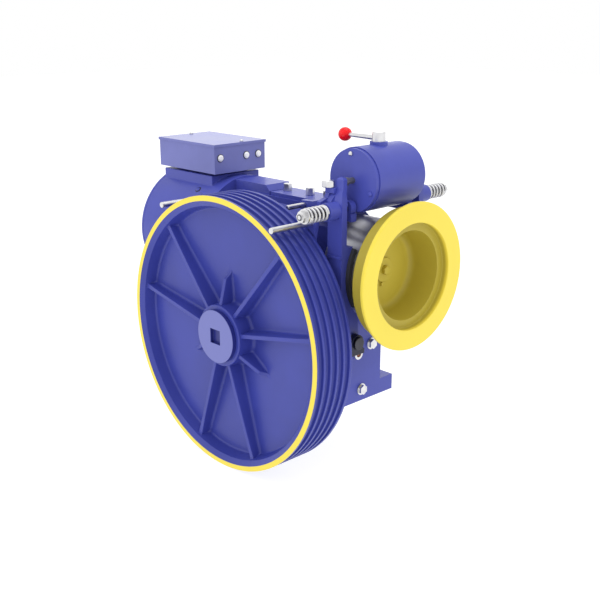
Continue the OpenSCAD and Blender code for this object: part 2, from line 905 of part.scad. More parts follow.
module plunger(side) {
    tip = arm_top_in_y - 0.3;
    core_far = magnet_l / 2 - magnet_cap_t - 4 - plunger_travel_room;
    color(steel) mirror([0, side < 0 ? 1 : 0, 0]) {
        rod_y(plunger_core_r, spindle_r + 1.5, core_far, brake_mid, magnet_z);
        rod_y(push_r, core_far - eps, tip, brake_mid, magnet_z);
        translate([brake_mid, magnet_l / 2 + push_nut_gap, magnet_z]) rotate([-90, 0, 0]) {
            cylinder(r = push_nut_r, h = 7, $fn = 6);
        }
    }
}

module plunger_front() {
    plunger(-1);
}

module plunger_rear() {
    plunger(1);
}

hub_r_lever = 12;
hub_h_lever = 18;
lever_z = boss_top + 6;
lever_rod_r = 4;
module release_lever() {
    color(steel) {
        translate([brake_mid, 0, boss_top + 0.3]) cylinder(r = hub_r_lever, h = hub_h_lever);
        translate([brake_mid, 0, magnet_z - 16]) cylinder(r = spindle_r, h = boss_top - magnet_z + 16 + 1);
        rod_x(lever_rod_r, brake_mid - lever_l + ball_r * 0.4, brake_mid - hub_r_lever + 2, 0, lever_z);
    }
}

module lever_ball() {
    color([0.9, 0.1, 0.12]) difference() {
        translate([brake_mid - lever_l, 0, lever_z]) sphere(r = ball_r);
        rod_x(lever_rod_r + seat, brake_mid - lever_l + ball_r * 0.4 - seat, brake_mid, 0, lever_z);
    }
}

// ---- Brake arms ----

fork_x = [brake_mid - arm_w / 2 - arm_side_play - ear_t, brake_mid + arm_w / 2 + arm_side_play + ear_t];
fork_floor = 6;
fork_y = 20;
module arm_bracket() {
    low = pivot_z - eye_r - arm_side_play - fork_floor;
    difference() {
        union() {
            translate([box_x, pivot_y - fork_y, low]) {
                cube([fork_x[1] - box_x, 2 * fork_y, fork_floor]);
            }
            slab_x(box_x, box_x + 12) translate([pivot_y - fork_y, low]) square([2 * fork_y, 50]);
            for (x = [fork_x[0], fork_x[1] - ear_t]) {
                slab_x(x, x + ear_t) {
                    translate([pivot_y, pivot_z]) circle(r = eye_r);
                    translate([pivot_y - fork_y, low]) square([2 * fork_y, fork_floor + 4]);
                    translate([pivot_y - eye_r, low]) square([2 * eye_r, pivot_z - low]);
                }
            }
        }
        rod_x(pin_r + seat, fork_x[0] - eps, fork_x[1] + eps, pivot_y, pivot_z);
    }
}

module arm_brackets() {
    color(blue) both_sides() arm_bracket();
}

module arm_pivot_pins() {
    color(steel) both_sides() {
        rod_x(pin_r, fork_x[0] - 4, fork_x[1] + eps, pivot_y, pivot_z);
        rod_x(pin_r + 4, fork_x[1], fork_x[1] + 5, pivot_y, pivot_z);
    }
}

// One arm, drawn on the +Y side: eye, curved shoe, plate, spring boss and the head that the push
// rod meets
arm_plate_t = 14;
head_t = 10;
head_half_w = 9;
shoulder_z = magnet_z - 11;
module arm_outline() {
    face = arm_face_y;
    back = face - arm_plate_t;
    tip = arm_top_in_y + head_t;
    polygon([
        [pivot_y - eye_r, pivot_z + 4], [pivot_y + eye_r, pivot_z - 2], [face - 6, pivot_z + 40],
        [face, worm_z - 60], [face, spring_z + 12], [tip, arm_top_z - 22], [tip, arm_top_z - 3],
        [tip - 3, arm_top_z], [arm_top_in_y, arm_top_z], [arm_top_in_y, magnet_z - 16],
        [back, spring_z + 8], [back, worm_z + 66], [back - 6, worm_z + 62],
        [0.62 * drum_r, worm_z + 62], [0.62 * drum_r, worm_z - 62], [pivot_y - 14, pivot_z + 40]
    ]);
    translate([pivot_y, pivot_z]) circle(r = eye_r);
}

// The arm seen along Y, from its middle: it narrows above the spring boss
module arm_front_outline() {
    half = arm_w / 2;
    polygon([
        [-half, pivot_z - eye_r - 1], [half, pivot_z - eye_r - 1], [half, spring_z + 12],
        [head_half_w, spring_z + 32], [head_half_w, arm_top_z - 4], [head_half_w - 4, arm_top_z],
        [-head_half_w + 4, arm_top_z], [-head_half_w, arm_top_z - 4], [-head_half_w, spring_z + 32],
        [-half, spring_z + 12]
    ]);
}

// A web beside the spring boss that carries the shoulder with the stop nut
web_x = [-arm_w / 2 - 11, -head_half_w];
stop_nut_r = 12;
stop_nut_t = 12;
stop_nut_at = [-arm_w / 2 - 6, arm_face_y - 7];
module arm_shoulder() {
    slab_x(brake_mid + web_x[0], brake_mid + web_x[0] + 10) polygon([
        [arm_face_y - 18, spring_z + 2], [spring_seat_y - 9, spring_z + 2],
        [spring_seat_y - 9, spring_z + 16], [arm_face_y - 1, spring_z + 22],
        [arm_face_y - 10, shoulder_z], [arm_face_y - 18, shoulder_z]
    ]);
    slab_x(brake_mid + web_x[0] + 9, brake_mid + web_x[1] + 2) polygon([
        [arm_face_y - 18, spring_z + 2], [arm_face_y + 4, spring_z + 2],
        [arm_face_y + 4, spring_z + 16], [arm_face_y - 12, shoulder_z - 8],
        [arm_face_y - 18, shoulder_z - 8]
    ]);
    translate([brake_mid + web_x[0], arm_face_y - 18, shoulder_z - 10]) {
        cube([web_x[1] - web_x[0] + 2, 14, 10]);
    }
    translate([brake_mid + web_x[0], arm_face_y - 18, spring_z - 12]) {
        cube([web_x[1] - web_x[0], 12, 16]);
    }
    translate([brake_mid + stop_nut_at[0], stop_nut_at[1], shoulder_z - eps]) {
        cylinder(r = stop_nut_r, h = stop_nut_t, $fn = 6);
    }
}

keeper_z = worm_z + 45;
keeper_t = 3;
module brake_arm() {
    half = arm_w / 2;
    difference() {
        union() {
            intersection() {
                slab_x(brake_mid - half, brake_mid + half) arm_outline();
                translate([brake_mid, 0, 0]) slab_y(0, 2 * arm_face_y) arm_front_outline();
            }
            rod_y(spring_boss_r, arm_face_y - arm_plate_t + 2, spring_seat_y, brake_mid, spring_z);
            translate([brake_mid - half + 1, arm_face_y - 1, keeper_z - 4]) {
                cube([arm_w - 2, 1 + keeper_t, 5]);
            }
            arm_shoulder();
        }
        rod_x(lining_out_r + seat, brake_mid - arm_w, brake_mid + arm_w);
        rod_x(pin_r + run_fit, brake_mid - arm_w, brake_mid + arm_w, pivot_y, pivot_z);
        rod_y(tie_r + 3, arm_top_in_y - eps, spring_seat_y + eps, brake_mid, spring_z);
    }
}

module brake_arm_front() {
    color(blue) mirror([0, 1, 0]) brake_arm();
}

module brake_arm_rear() {
    color(blue) brake_arm();
}

module brake_lining() {
    a = lining_half_angle;
    far = lining_out_r + 10;
    half = arm_w / 2 + 8;
    intersection() {
        difference() {
            rod_x(lining_out_r, brake_mid - half, brake_mid + half);
            rod_x(lining_in_r, brake_mid - half - eps, brake_mid + half + eps);
        }
        slab_x(brake_mid - half - 1, brake_mid + half + 1) translate([0, worm_z]) polygon([
            [0, 0], [far * cos(a), -far * sin(a)], [far * 1.4, 0], [far * cos(a), far * sin(a)]
        ]);
    }
}

module brake_lining_front() {
    color(dark) mirror([0, 1, 0]) brake_lining();
}

module brake_lining_rear() {
    color(dark) brake_lining();
}

module tie_rods() {
    color(steel) both_sides() rod_y(tie_r, cheek_y, tie_end_y, brake_mid, spring_z);
}

module tie_rod_nuts() {
    washer_y = spring_seat_y + spring_l;
    color(steel) both_sides() {
        turned_y(brake_mid, spring_z) {
            ring_profile(tie_r + seat, spring_r + 1, washer_y, washer_y + washer_t);
        }
        translate([brake_mid, washer_y + washer_t, spring_z]) rotate([-90, 0, 0]) hex_nut(tie_r, tie_nut_t);
    }
}

// A compression spring along +Z, swept round its helix, with closed end turns
function spring_height(t, length) =
    let (free = length - 4 * wire_r, k = (t - 0.75) / (spring_turns - 1.5))
    wire_r + (t < 0.75 ? t / 0.75 * wire_r
        : t > spring_turns - 0.75 ? wire_r + free + (t - spring_turns + 0.75) / 0.75 * wire_r
        : wire_r + k * (free));

module coil_spring(length) {
    steps = 14;
    sides = 6;
    count = spring_turns * steps;
    points = [
        for (i = [0 : count]) for (j = [0 : sides - 1])
            let (a = i * 360 / steps, b = j * 360 / sides,
                r = spring_r + wire_r * 0.96 * cos(b),
                z = spring_height(i / steps, length) + wire_r * 0.96 * sin(b))
            [r * cos(a), r * sin(a), z]
    ];
    skin = [
        for (i = [0 : count - 1]) for (j = [0 : sides - 1])
            let (a = i * sides + j, b = i * sides + (j + 1) % sides)
            [a, a + sides, b + sides, b]
    ];
    near_end = [for (j = [0 : sides - 1]) j];
    far_end = [for (j = [sides - 1 : -1 : 0]) count * sides + j];
    polyhedron(points, concat(skin, [near_end, far_end]));
}

module brake_spring(side) {
    length = spring_l - 0.1;
    translate([brake_mid, side * (spring_seat_y + 0.05), spring_z]) rotate([-90 * side, 0, 0]) {
        coil_spring(length);
    }
}

module brake_spring_front() {
    color(steel) brake_spring(-1);
}

module brake_spring_rear() {
    color(steel) brake_spring(1);
}

// ---- Rope guard ----

guard_front_y = -sheave_back - sheave_w - 5;
guard_tail_y = -guard_plate_y + guard_plate_t + 10;
module guard_rods() {
    color(steel) for (side = [-1, 1]) {
        rod_y(guard_r, guard_front_y, guard_tail_y, side * guard_x, guard_z);
    }
    color(steel) rod_y(stay_r, -guard_plate_y, -cheek_y - cheek_t, cheek_x[0] + 11, deck_z + 10);
}

guard_foot_z = box_h - 52;
stay_r = 5;                 // a stay on the magnet bracket that ends behind the ropes
module guard_brackets() {
    eye = guard_r + 9;
    color(blue) for (side = [-1, 1]) {
        mirror([side < 0 ? 1 : 0, 0, 0]) difference() {
            union() {
                slab_y(-guard_plate_y, -guard_plate_y + guard_plate_t) {
                    translate([guard_x, guard_z]) circle(r = eye);
                    polygon([
                        [box_x - 48, guard_foot_z], [box_x - 6, guard_foot_z],
                        [guard_x + eye - 2, guard_z - 8], [guard_x + 4, guard_z + 8],
                        [guard_x - eye, guard_z]
                    ]);
                }
                translate([box_x - 48, -guard_plate_y, guard_foot_z]) {
                    cube([42, guard_plate_y - box_y, 30]);
                }
            }
            rod_y(guard_r + seat, -guard_plate_y - eps, -guard_plate_y + guard_plate_t + eps, guard_x,
                guard_z);
        }
    }
}

module guard_nuts() {
    t = 5;
    color(steel) for (side = [-1, 1]) {
        translate([side * guard_x, -guard_plate_y + guard_plate_t, guard_z]) rotate([-90, 0, 0]) {
            hex_nut(guard_r, t);
        }
    }
}

// ---- Sheave and what turns with it ----

front = sheave_front;
hub_front = front + 3;
hub_back = -front_boss_y - cap_t - 8;
groove_sink = 0.4 * groove_r;       // from the rim down to the middle of a rope
rim_back_r = sheave_r - groove_r * 2 - 9;
web_front = front + dish_depth;
web_edge_r = sheave_r - ring_w - 12;
web_hub_front = web_front + 8;

module rim_outline() {
    difference() {
        polygon([
            [sheave_r - ring_w, front], [sheave_r - 1, front], [sheave_r, front + 1],
            [sheave_r, front + sheave_w - 1], [sheave_r - 1, front + sheave_w],
            [rim_back_r, front + sheave_w], [web_edge_r - 2, web_front + web_t + 10],
            [web_edge_r - 14, web_front + web_t], [web_edge_r - 14, web_front],
            [web_edge_r, web_front - 12], [sheave_r - ring_w - 6, front + 7]
        ]);
        for (k = [0 : groove_count - 1]) {
            y = front + sheave_w / 2 + (k - (groove_count - 1) / 2) * groove_pitch;
            translate([sheave_r - groove_sink, y]) circle(r = groove_r, $fn = 32);
            translate([sheave_r - groove_sink, y]) polygon([
                [0, -groove_r], [groove_sink + 1, -groove_r - 0.4], [groove_sink + 1, groove_r + 0.4],
                [0, groove_r]
            ]);
        }
    }
}

module sheave_outline() {
    rim_outline();
    polygon([
        [hub_r - 10, web_hub_front], [web_edge_r - 13.9, web_front],
        [web_edge_r - 13.9, web_front + web_t], [hub_r - 10, web_hub_front + web_t]
    ]);
    polygon([
        [main_shaft_r + seat, hub_front], [hub_r - 2, hub_front], [hub_r, hub_front + 2],
        [hub_r, hub_back - 3], [hub_r - 3, hub_back], [main_shaft_r + seat, hub_back]
    ]);
}

// A rib is a fin in the plane of the shaft, tall at the hub and low at the rim
module rib(reach, outer_height) {
    translate([0, 0, -rib_t / 2]) linear_extrude(rib_t) polygon([
        [hub_r - 8, web_hub_front + 4], [hub_r - 8, hub_front + 2], [hub_r + 2, hub_front + 3],
        [reach, web_front - outer_height], [reach, web_front + 4]
    ]);
}

module at_rib(angle) {
    translate([0, 0, shaft_height]) rotate([0, -angle, 0]) children();
}

module traction_sheave() {
    color(blue) difference() {
        union() {
            turned_y() sheave_outline();
            for (pair = [30, 150, 270]) {
                for (a = [-rib_spread, rib_spread]) {
                    at_rib(pair + a) rib(web_edge_r - 1, 18);
                }
                at_rib(pair + 60) rib(gusset_reach, 9);
            }
        }
        translate([-key_w / 2 - seat, hub_front - eps, shaft_height + main_shaft_r - key_sink]) {
            cube([key_w + 2 * seat, key_l + seat, key_h + seat]);
        }
    }
}

key_w = 24;
key_h = 14;
key_sink = 8;
key_l = 80;
end_plate_front = hub_front - end_plate_t;
module shaft_end_plate() {
    color([0.5, 0.53, 0.78]) difference() {
        turned_y() {
            ring_profile(0, end_plate_r, end_plate_front, hub_front - seat);
        }
        translate([-pocket_side / 2, end_plate_front - eps, shaft_height - pocket_side / 2]) {
            cube([pocket_side, end_plate_t - 2, pocket_side]);
        }
    }
}

wheel_hub_y = wheel_w / 2 + 12;
main_shaft_far = main_bearing_y + main_bearing_w;
module main_shaft() {
    color(steel) difference() {
        turned_y() polygon([
            [0, hub_front], [main_shaft_r - 2, hub_front], [main_shaft_r, hub_front + 2],
            [main_shaft_r, main_shaft_far - 2], [main_shaft_r - 2, main_shaft_far],
            [0, main_shaft_far]
        ]);
        translate([-key_w / 2 - seat, hub_front - eps, shaft_height + main_shaft_r - key_sink]) {
            cube([key_w + 2 * seat, key_l + seat, key_h]);
        }
        translate([-key_w / 2 - seat, -wheel_hub_y, shaft_height + main_shaft_r - key_sink]) {
            cube([key_w + 2 * seat, 2 * wheel_hub_y, key_h]);
        }
    }
}

module shaft_keys() {
    color(iron) {
        translate([-key_w / 2, hub_front + 1, shaft_height + main_shaft_r - key_sink + seat]) {
            cube([key_w, key_l - 1, key_h - 2 * seat]);
        }
        translate([-key_w / 2, -wheel_hub_y + 1, shaft_height + main_shaft_r - key_sink + seat]) {
            cube([key_w, 2 * wheel_hub_y - 2, key_h - 2 * seat]);
        }
    }
}

module worm_wheel_centre() {
    color(iron) difference() {
        turned_y() {
            ring_profile(main_shaft_r + seat, hub_r - 4, -wheel_hub_y, wheel_hub_y);
            ring_profile(hub_r - 4 - eps, rim_seat_r - rim_seat_gap, -wheel_w / 2 + 2, wheel_w / 2 - 2);
        }
        translate([-key_w / 2 - seat, -wheel_hub_y - eps, shaft_height + main_shaft_r - key_sink]) {
            cube([key_w + 2 * seat, 2 * wheel_hub_y + 2 * eps, key_h + seat]);
        }
    }
}

// Half the angle of a tooth at radius r, by the involute
function involute(a) = tan(a) - a * PI / 180;
function half_tooth(r) =
    let (a = acos(min(1, wheel_base_r / max(r, wheel_base_r))),
        pitch_half = (PI * gear_module / 4 - backlash / 2) / wheel_pitch_r)
    (pitch_half + involute(pressure_angle) - involute(a)) * 180 / PI;

module wheel_outline() {
    radii = [wheel_root_r, wheel_pitch_r - gear_module * 0.45, wheel_pitch_r + gear_module * 0.3,
        wheel_tip_r];
    points = [
        for (k = [0 : wheel_teeth - 1])
            let (middle = wheel_phase + k * 360 / wheel_teeth)
            for (e = concat([for (r = radii) [r, -half_tooth(r)]],
                [for (i = [3 : -1 : 0]) [radii[i], half_tooth(radii[i])]]))
                [e[0] * cos(middle + e[1]), e[0] * sin(middle + e[1])]
    ];
    difference() {
        polygon(points);
        circle(r = rim_seat_r / cos(180 / (2 * wheel_teeth)), $fn = 2 * wheel_teeth);
    }
}

// The wheel's teeth lean by the worm's lead angle; a gap faces the worm's thread
wheel_phase = 90 + 180 / wheel_teeth;
lead_angle = atan(axial_pitch / (2 * PI * worm_pitch_r));
wheel_lean = wheel_w * tan(lead_angle) / wheel_pitch_r * 180 / PI;
module worm_wheel_rim() {
    color(bronze) translate([0, wheel_w / 2, shaft_height]) rotate([90, 0, 0]) {
        rotate([0, 0, -wheel_lean / 2]) {
            linear_extrude(wheel_w, twist = -wheel_lean, slices = 2) wheel_outline();
        }
    }
}

// ---- Worm shaft and what turns with it ----

// The worm's cross section: as the angle goes once round, the radius runs over one axial pitch
function thread_radius(angle) =
    let (s = abs(angle) / 360 * axial_pitch)
    min(worm_tip_r, max(worm_root_r, worm_pitch_r + (axial_pitch / 4 - s) / tan(pressure_angle)));

function thread_corner(r) =
    (axial_pitch / 4 - (r - worm_pitch_r) * tan(pressure_angle)) / axial_pitch * 360;

module thread_outline() {
    tip = thread_corner(worm_tip_r);
    root = thread_corner(worm_root_r);
    half = concat([for (k = [0 : 3]) k * tip / 3.5], [for (k = [0 : 4]) tip + k * (root - tip) / 4],
        [for (k = [1 : 2]) root + k * (180 - root) / 2.5]);
    angles = concat(half, [for (k = [len(half) - 1 : -1 : 1]) -half[k]]);
    difference() {
        polygon([for (a = angles) thread_radius(a) * [cos(a), sin(a)]]);
        circle(r = worm_core_r + 1.2, $fn = 20);
    }
}

worm_core_r = worm_shaft_r + 0.4;
worm_turns = worm_l / axial_pitch;
worm_slices = round(worm_turns * worm_turn_slices);
module worm_thread() {
    color(steel) translate([-worm_l / 2, 0, worm_z]) rotate([0, 90, 0]) {
        rotate([0, 0, worm_phase]) {
            linear_extrude(worm_l, twist = -360 * worm_turns, slices = worm_slices, $fn = 20) {
                thread_outline();
            }
        }
    }
}

// The thread stands over the wheel's middle gap at the bottom of the worm
worm_phase = -180 * worm_turns;

rotor_shaft_r = worm_shaft_r + 4;
module worm_shaft() {
    shoulder = worm_l / 2 + 12;
    color(steel) turned_x() polygon([
        [0, motor_end + 14], [worm_shaft_r, motor_end + 14],
        [worm_shaft_r, tail_bearing_x + tail_bearing_w + 4],
        [rotor_shaft_r, tail_bearing_x + tail_bearing_w + 4], [rotor_shaft_r, frame_near - 8],
        [worm_shaft_r, frame_near - 8], [worm_shaft_r, -shoulder - 20],
        [worm_core_r, -shoulder - 20], [worm_core_r, shoulder + 20],
        [worm_shaft_r, shoulder + 20], [worm_shaft_r, box_x + worm_cap_t + 2],
        [worm_shaft_r - 1, box_x + worm_cap_t + 2], [worm_shaft_r - 1, shaft_end_x],
        [end_bolt_r + seat, shaft_end_x], [end_bolt_r + seat, shaft_end_x - end_bolt_depth],
        [0, shaft_end_x - end_bolt_depth]
    ]);
}

module motor_rotor() {
    far = core_x - core_l / 2;
    near = core_x + core_l / 2;
    color(iron) turned_x() {
        ring_profile(rotor_shaft_r + seat, rotor_r, far, near);
        ring_profile(rotor_r - 26, rotor_r - 6, far - 8, near + 8);
    }
}

module brake_drum() {
    bore = worm_shaft_r - 1 + seat;
    web = [drum_seat_x - 28, drum_seat_x - 14];
    color(steel) turned_x() polygon([
        [bore, drum_x + 4], [36, drum_x + 4], [36, web[0] - 8], [44, web[0]],
        [drum_r - drum_rim_t - 6, web[0]], [drum_r - drum_rim_t, web[0] - 6],
        [drum_r - drum_rim_t, drum_x], [drum_r - 1, drum_x], [drum_r, drum_x + 1],
        [drum_r, drum_end - 1], [drum_r - 1, drum_end], [drum_r - drum_rim_t, drum_end],
        [drum_r - drum_rim_t, web[1] + 4], [drum_r - drum_rim_t - 4, web[1]],
        [62, web[1]], [60, drum_seat_x], [bore, drum_seat_x]
    ]);
}

module flywheel() {
    bore = worm_shaft_r - 1 + seat;
    back = fly_front - fly_ring_t;
    wall_r = fly_cup_r + fly_wall_t;
    color(yellow) turned_x() polygon([
        [bore, drum_seat_x + seat], [fly_inner_r - 3, drum_seat_x + seat],
        [fly_inner_r, drum_seat_x + 3], [fly_inner_r, fly_shoulder],
        [wall_r - 4, fly_shoulder], [wall_r, fly_shoulder + 4], [wall_r, back],
        [fly_r - 2, back], [fly_r, back + 2], [fly_r, fly_front - 4], [fly_r - 2, fly_front],
        [fly_in_r + 2, fly_front], [fly_in_r, fly_front - 2], [fly_in_r, fly_ledge_x + 2],
        [fly_in_r - 2, fly_ledge_x], [fly_cup_r, fly_ledge_x], [fly_cup_r, fly_shoulder + 12],
        [fly_cup_r - 4, fly_shoulder + 8], [fly_well_r, fly_shoulder + 8],
        [fly_well_r, fly_floor + 10], [fly_well_r - 3, fly_floor + 3],
        [fly_well_r - 10, fly_floor], [bore, fly_floor]
    ]);
}

module flywheel_fasteners() {
    washer = 4;
    color(steel) translate([fly_floor, 0, worm_z]) rotate([0, 90, 0]) {
        translate([0, 0, 0.05]) cylinder(r = worm_shaft_r + 5, h = washer);
        translate([0, 0, washer]) hex_bolt(end_bolt_r, 8, end_bolt_depth);
    }
}

gearbox_housing();
inspection_cover();
deck_bolts();
oil_sight_ring();
oil_sight_glass();
drain_plug();
level_plug();
front_bearing_cap();
rear_bearing_cover();
bearing_cap_bolts();
front_main_bearing();
rear_main_bearing();
worm_bearings();
worm_end_cap();
shaft_seals();
motor_adapter();
adapter_bolts();
motor_frame();
motor_end_shield();
stator_core();
stator_windings();
terminal_box();
terminal_box_lid();
terminal_block();
lid_screws();
cable_entry_plugs();
magnet_bracket();
magnet_body();
magnet_caps();
magnet_coils();
magnet_cap_screws();
arm_brackets();
arm_pivot_pins();
tie_rods();
tie_rod_nuts();
brake_spring_front();
brake_spring_rear();
guard_rods();
guard_brackets();
guard_nuts();
traction_sheave();
shaft_end_plate();
main_shaft();
shaft_keys();
worm_wheel_centre();
worm_wheel_rim();
worm_shaft();
worm_thread();
motor_rotor();
brake_drum();
flywheel();
flywheel_fasteners();
brake_arm_front();
brake_lining_front();
brake_arm_rear();
brake_lining_rear();
release_lever();
lever_ball();
plunger_front();
plunger_rear();
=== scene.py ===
"""Geared elevator traction machine: finished pieces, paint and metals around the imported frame."""
import json
import math

import bmesh
import bpy
import numpy as np
from bpy.props import FloatProperty, FloatVectorProperty, IntProperty, PointerProperty
from mathutils import Matrix, Vector


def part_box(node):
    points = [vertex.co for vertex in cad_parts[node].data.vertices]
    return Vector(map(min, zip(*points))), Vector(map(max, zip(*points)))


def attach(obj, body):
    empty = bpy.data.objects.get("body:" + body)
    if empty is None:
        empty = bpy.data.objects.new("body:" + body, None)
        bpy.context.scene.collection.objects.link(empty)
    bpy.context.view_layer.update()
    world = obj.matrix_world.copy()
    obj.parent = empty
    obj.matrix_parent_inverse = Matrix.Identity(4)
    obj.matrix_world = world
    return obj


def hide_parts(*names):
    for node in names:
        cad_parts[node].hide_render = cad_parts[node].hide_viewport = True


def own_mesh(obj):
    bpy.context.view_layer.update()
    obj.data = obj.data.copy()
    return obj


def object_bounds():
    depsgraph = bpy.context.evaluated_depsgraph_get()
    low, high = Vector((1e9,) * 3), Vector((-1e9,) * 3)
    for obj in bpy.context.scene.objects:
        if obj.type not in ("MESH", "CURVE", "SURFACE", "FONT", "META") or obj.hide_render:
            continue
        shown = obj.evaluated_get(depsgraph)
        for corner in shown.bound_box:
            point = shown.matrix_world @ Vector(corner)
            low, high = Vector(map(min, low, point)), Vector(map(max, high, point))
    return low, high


bl_info = {
    "name": "Traction machine",
    "version": (1, 0, 0),
    "blender": (4, 5, 0),
    "location": "View3D > Sidebar > Machine",
    "description": "Builds the finished pieces of a geared elevator traction machine",
    "category": "Object",
}

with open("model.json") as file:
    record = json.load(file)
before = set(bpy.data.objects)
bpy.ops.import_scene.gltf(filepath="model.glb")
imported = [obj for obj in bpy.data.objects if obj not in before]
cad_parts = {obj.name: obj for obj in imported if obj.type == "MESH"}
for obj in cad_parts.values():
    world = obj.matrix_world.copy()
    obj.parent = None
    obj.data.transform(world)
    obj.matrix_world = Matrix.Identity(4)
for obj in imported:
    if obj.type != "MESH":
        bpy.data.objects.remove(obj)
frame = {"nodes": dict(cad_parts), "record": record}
CAD_BOX = [[float(v) for v in corner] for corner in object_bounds()]
MM = 0.001
X, Y, Z = 0, 1, 2


# ---- Places, read from the frame ----


def low(node):
    return np.array(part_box(node)[0])


def high(node):
    return np.array(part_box(node)[1])


def middle(node):
    return (low(node) + high(node)) / 2


SHEAVE_Z = middle("main_shaft")[Z]
WORM_Z = middle("worm_shaft")[Z]
BRAKE_X = middle("brake_lining_rear")[X]
MAGNET_Z = middle("magnet_caps")[Z]
SPRING_Z = middle("brake_spring_rear")[Z]
SHEAVE_FRONT = low("traction_sheave")[Y]
SHEAVE_R = high("traction_sheave")[X]
RIM_INNER = SHEAVE_R - 20 * MM
FLOOR_Z = CAD_BOX[0][2]
WORM_BORE = 19.1 * MM
SPINDLE_R = 5.9 * MM
TOUCHING = 0.05 * MM
SHARP_ANGLE = math.radians(40)
CASTING_SHARP_ANGLE = math.radians(35)
CAMERA_PLACE = (1.445, -1.386, 0.816)
CAMERA_YAW, CAMERA_PITCH = math.radians(46.26), math.radians(16.96)
CAMERA_LENS, CAMERA_SENSOR = 56.64, 36.0


# ---- Sizes and colours that a user would change ----


def length(name, description, default):
    return FloatProperty(
        name=name, description=description, default=default, unit="LENGTH", precision=4
    )


def colour(name, description, default):
    return FloatVectorProperty(
        name=name, description=description, default=default, size=3, subtype="COLOR", min=0, max=1
    )


def power(name, description, default):
    return FloatProperty(name=name, description=description, default=default, unit="POWER")


class SheaveSettings(bpy.types.PropertyGroup):
    rim_width: length("Rim width", "Width of the grooved rim", 0.096)
    ring_width: length("Ring width", "Width of the painted ring on the front edge", 0.011)
    groove_count: IntProperty(name="Grooves", description="Number of rope grooves", default=5)
    groove_pitch: length("Groove pitch", "Distance from one groove to the next", 0.0175)
    groove_radius: length("Groove radius", "Radius of a groove's bottom", 0.0055)
    dish_depth: length("Dish depth", "From the ring back to the web", 0.033)
    web_thickness: length("Web thickness", "Thickness of the web", 0.014)
    hub_radius: length("Hub radius", "Radius of the hub", 0.065)
    rib_half_width: length("Rib half width", "Half the width of a rib's front edge", 0.0043)
    rib_spread: FloatProperty(
        name="Rib spread", description="Half the angle of a pair of ribs",
        default=math.radians(19), subtype="ANGLE",
    )
    rib_rim_height: length("Rib height", "Height of a long rib where it meets the rim", 0.020)
    gusset_reach: length("Gusset reach", "Radius where the short gussets end", 0.126)
    fillet: length("Fillet", "Radius of the cast fillets at the foot of the ribs", 0.006)


class FlywheelSettings(bpy.types.PropertyGroup):
    ring_inner: length("Ring inner radius", "Inner radius of the flat ring", 0.107)
    body_depth: length("Body depth", "From the face to the rear of the body behind the ring", 0.042)
    ledge_depth: length("Ledge depth", "From the face back to the ledge inside the ring", 0.015)
    cup_radius: length("Cup radius", "Radius of the cup behind the ledge", 0.090)
    floor_radius: length("Floor radius", "Radius of the cup at its floor", 0.083)
    rim_thickness: length("Rim thickness", "Thickness of the ring at its edge", 0.008)
    floor_thickness: length("Floor thickness", "Thickness of the cup's floor", 0.012)


class BrakeSettings(bpy.types.PropertyGroup):
    spring_turns: IntProperty(name="Spring turns", description="Turns of a brake spring", default=6)
    wire_radius: length("Spring wire", "Radius of the spring wire", 0.0025)
    lever_rod: length("Lever rod", "Radius of the release lever's rod", 0.004)


class FinishSettings(bpy.types.PropertyGroup):
    blue: colour("Blue", "Enamel on the castings", (0.062, 0.077, 0.40))
    # Painted shade: the sheave's blue is the castings' blue made darker.
    shaded_blue: colour("Deep blue", "Enamel on the sheave", (0.042, 0.055, 0.33))
    # Painted light: the pale blue is the castings' blue made lighter, for the faces of the terminal
    # box, its lid and the shaft disc.
    pale_blue: colour("Pale blue", "Enamel on the sheet metal and the disc", (0.155, 0.17, 0.46))
    yellow: colour("Yellow", "Enamel on the flywheel and the sheave's ring", (0.88, 0.71, 0.075))
    zinc: colour("Zinc", "Plated bolts, rods and springs", (0.70, 0.70, 0.71))
    red: colour("Red", "Ball of the release lever", (0.90, 0.006, 0.010))


class StageSettings(bpy.types.PropertyGroup):
    floor: colour("Floor", "Colour of the floor", (0.35, 0.35, 0.35))
    sky: FloatProperty(name="Sky", description="Strength of the white surroundings", default=1.0)
    key: power("Key light", "Power of the large front light", 9)
    top: power("Top light", "Power of the overhead light", 20)
    back: power("Back light", "Power of the low light behind", 8)


class MachineSettings(bpy.types.PropertyGroup):
    sheave: PointerProperty(type=SheaveSettings)
    flywheel: PointerProperty(type=FlywheelSettings)
    brake: PointerProperty(type=BrakeSettings)
    finish: PointerProperty(type=FinishSettings)
    stage: PointerProperty(type=StageSettings)


# ---- Shapes as arrays ----


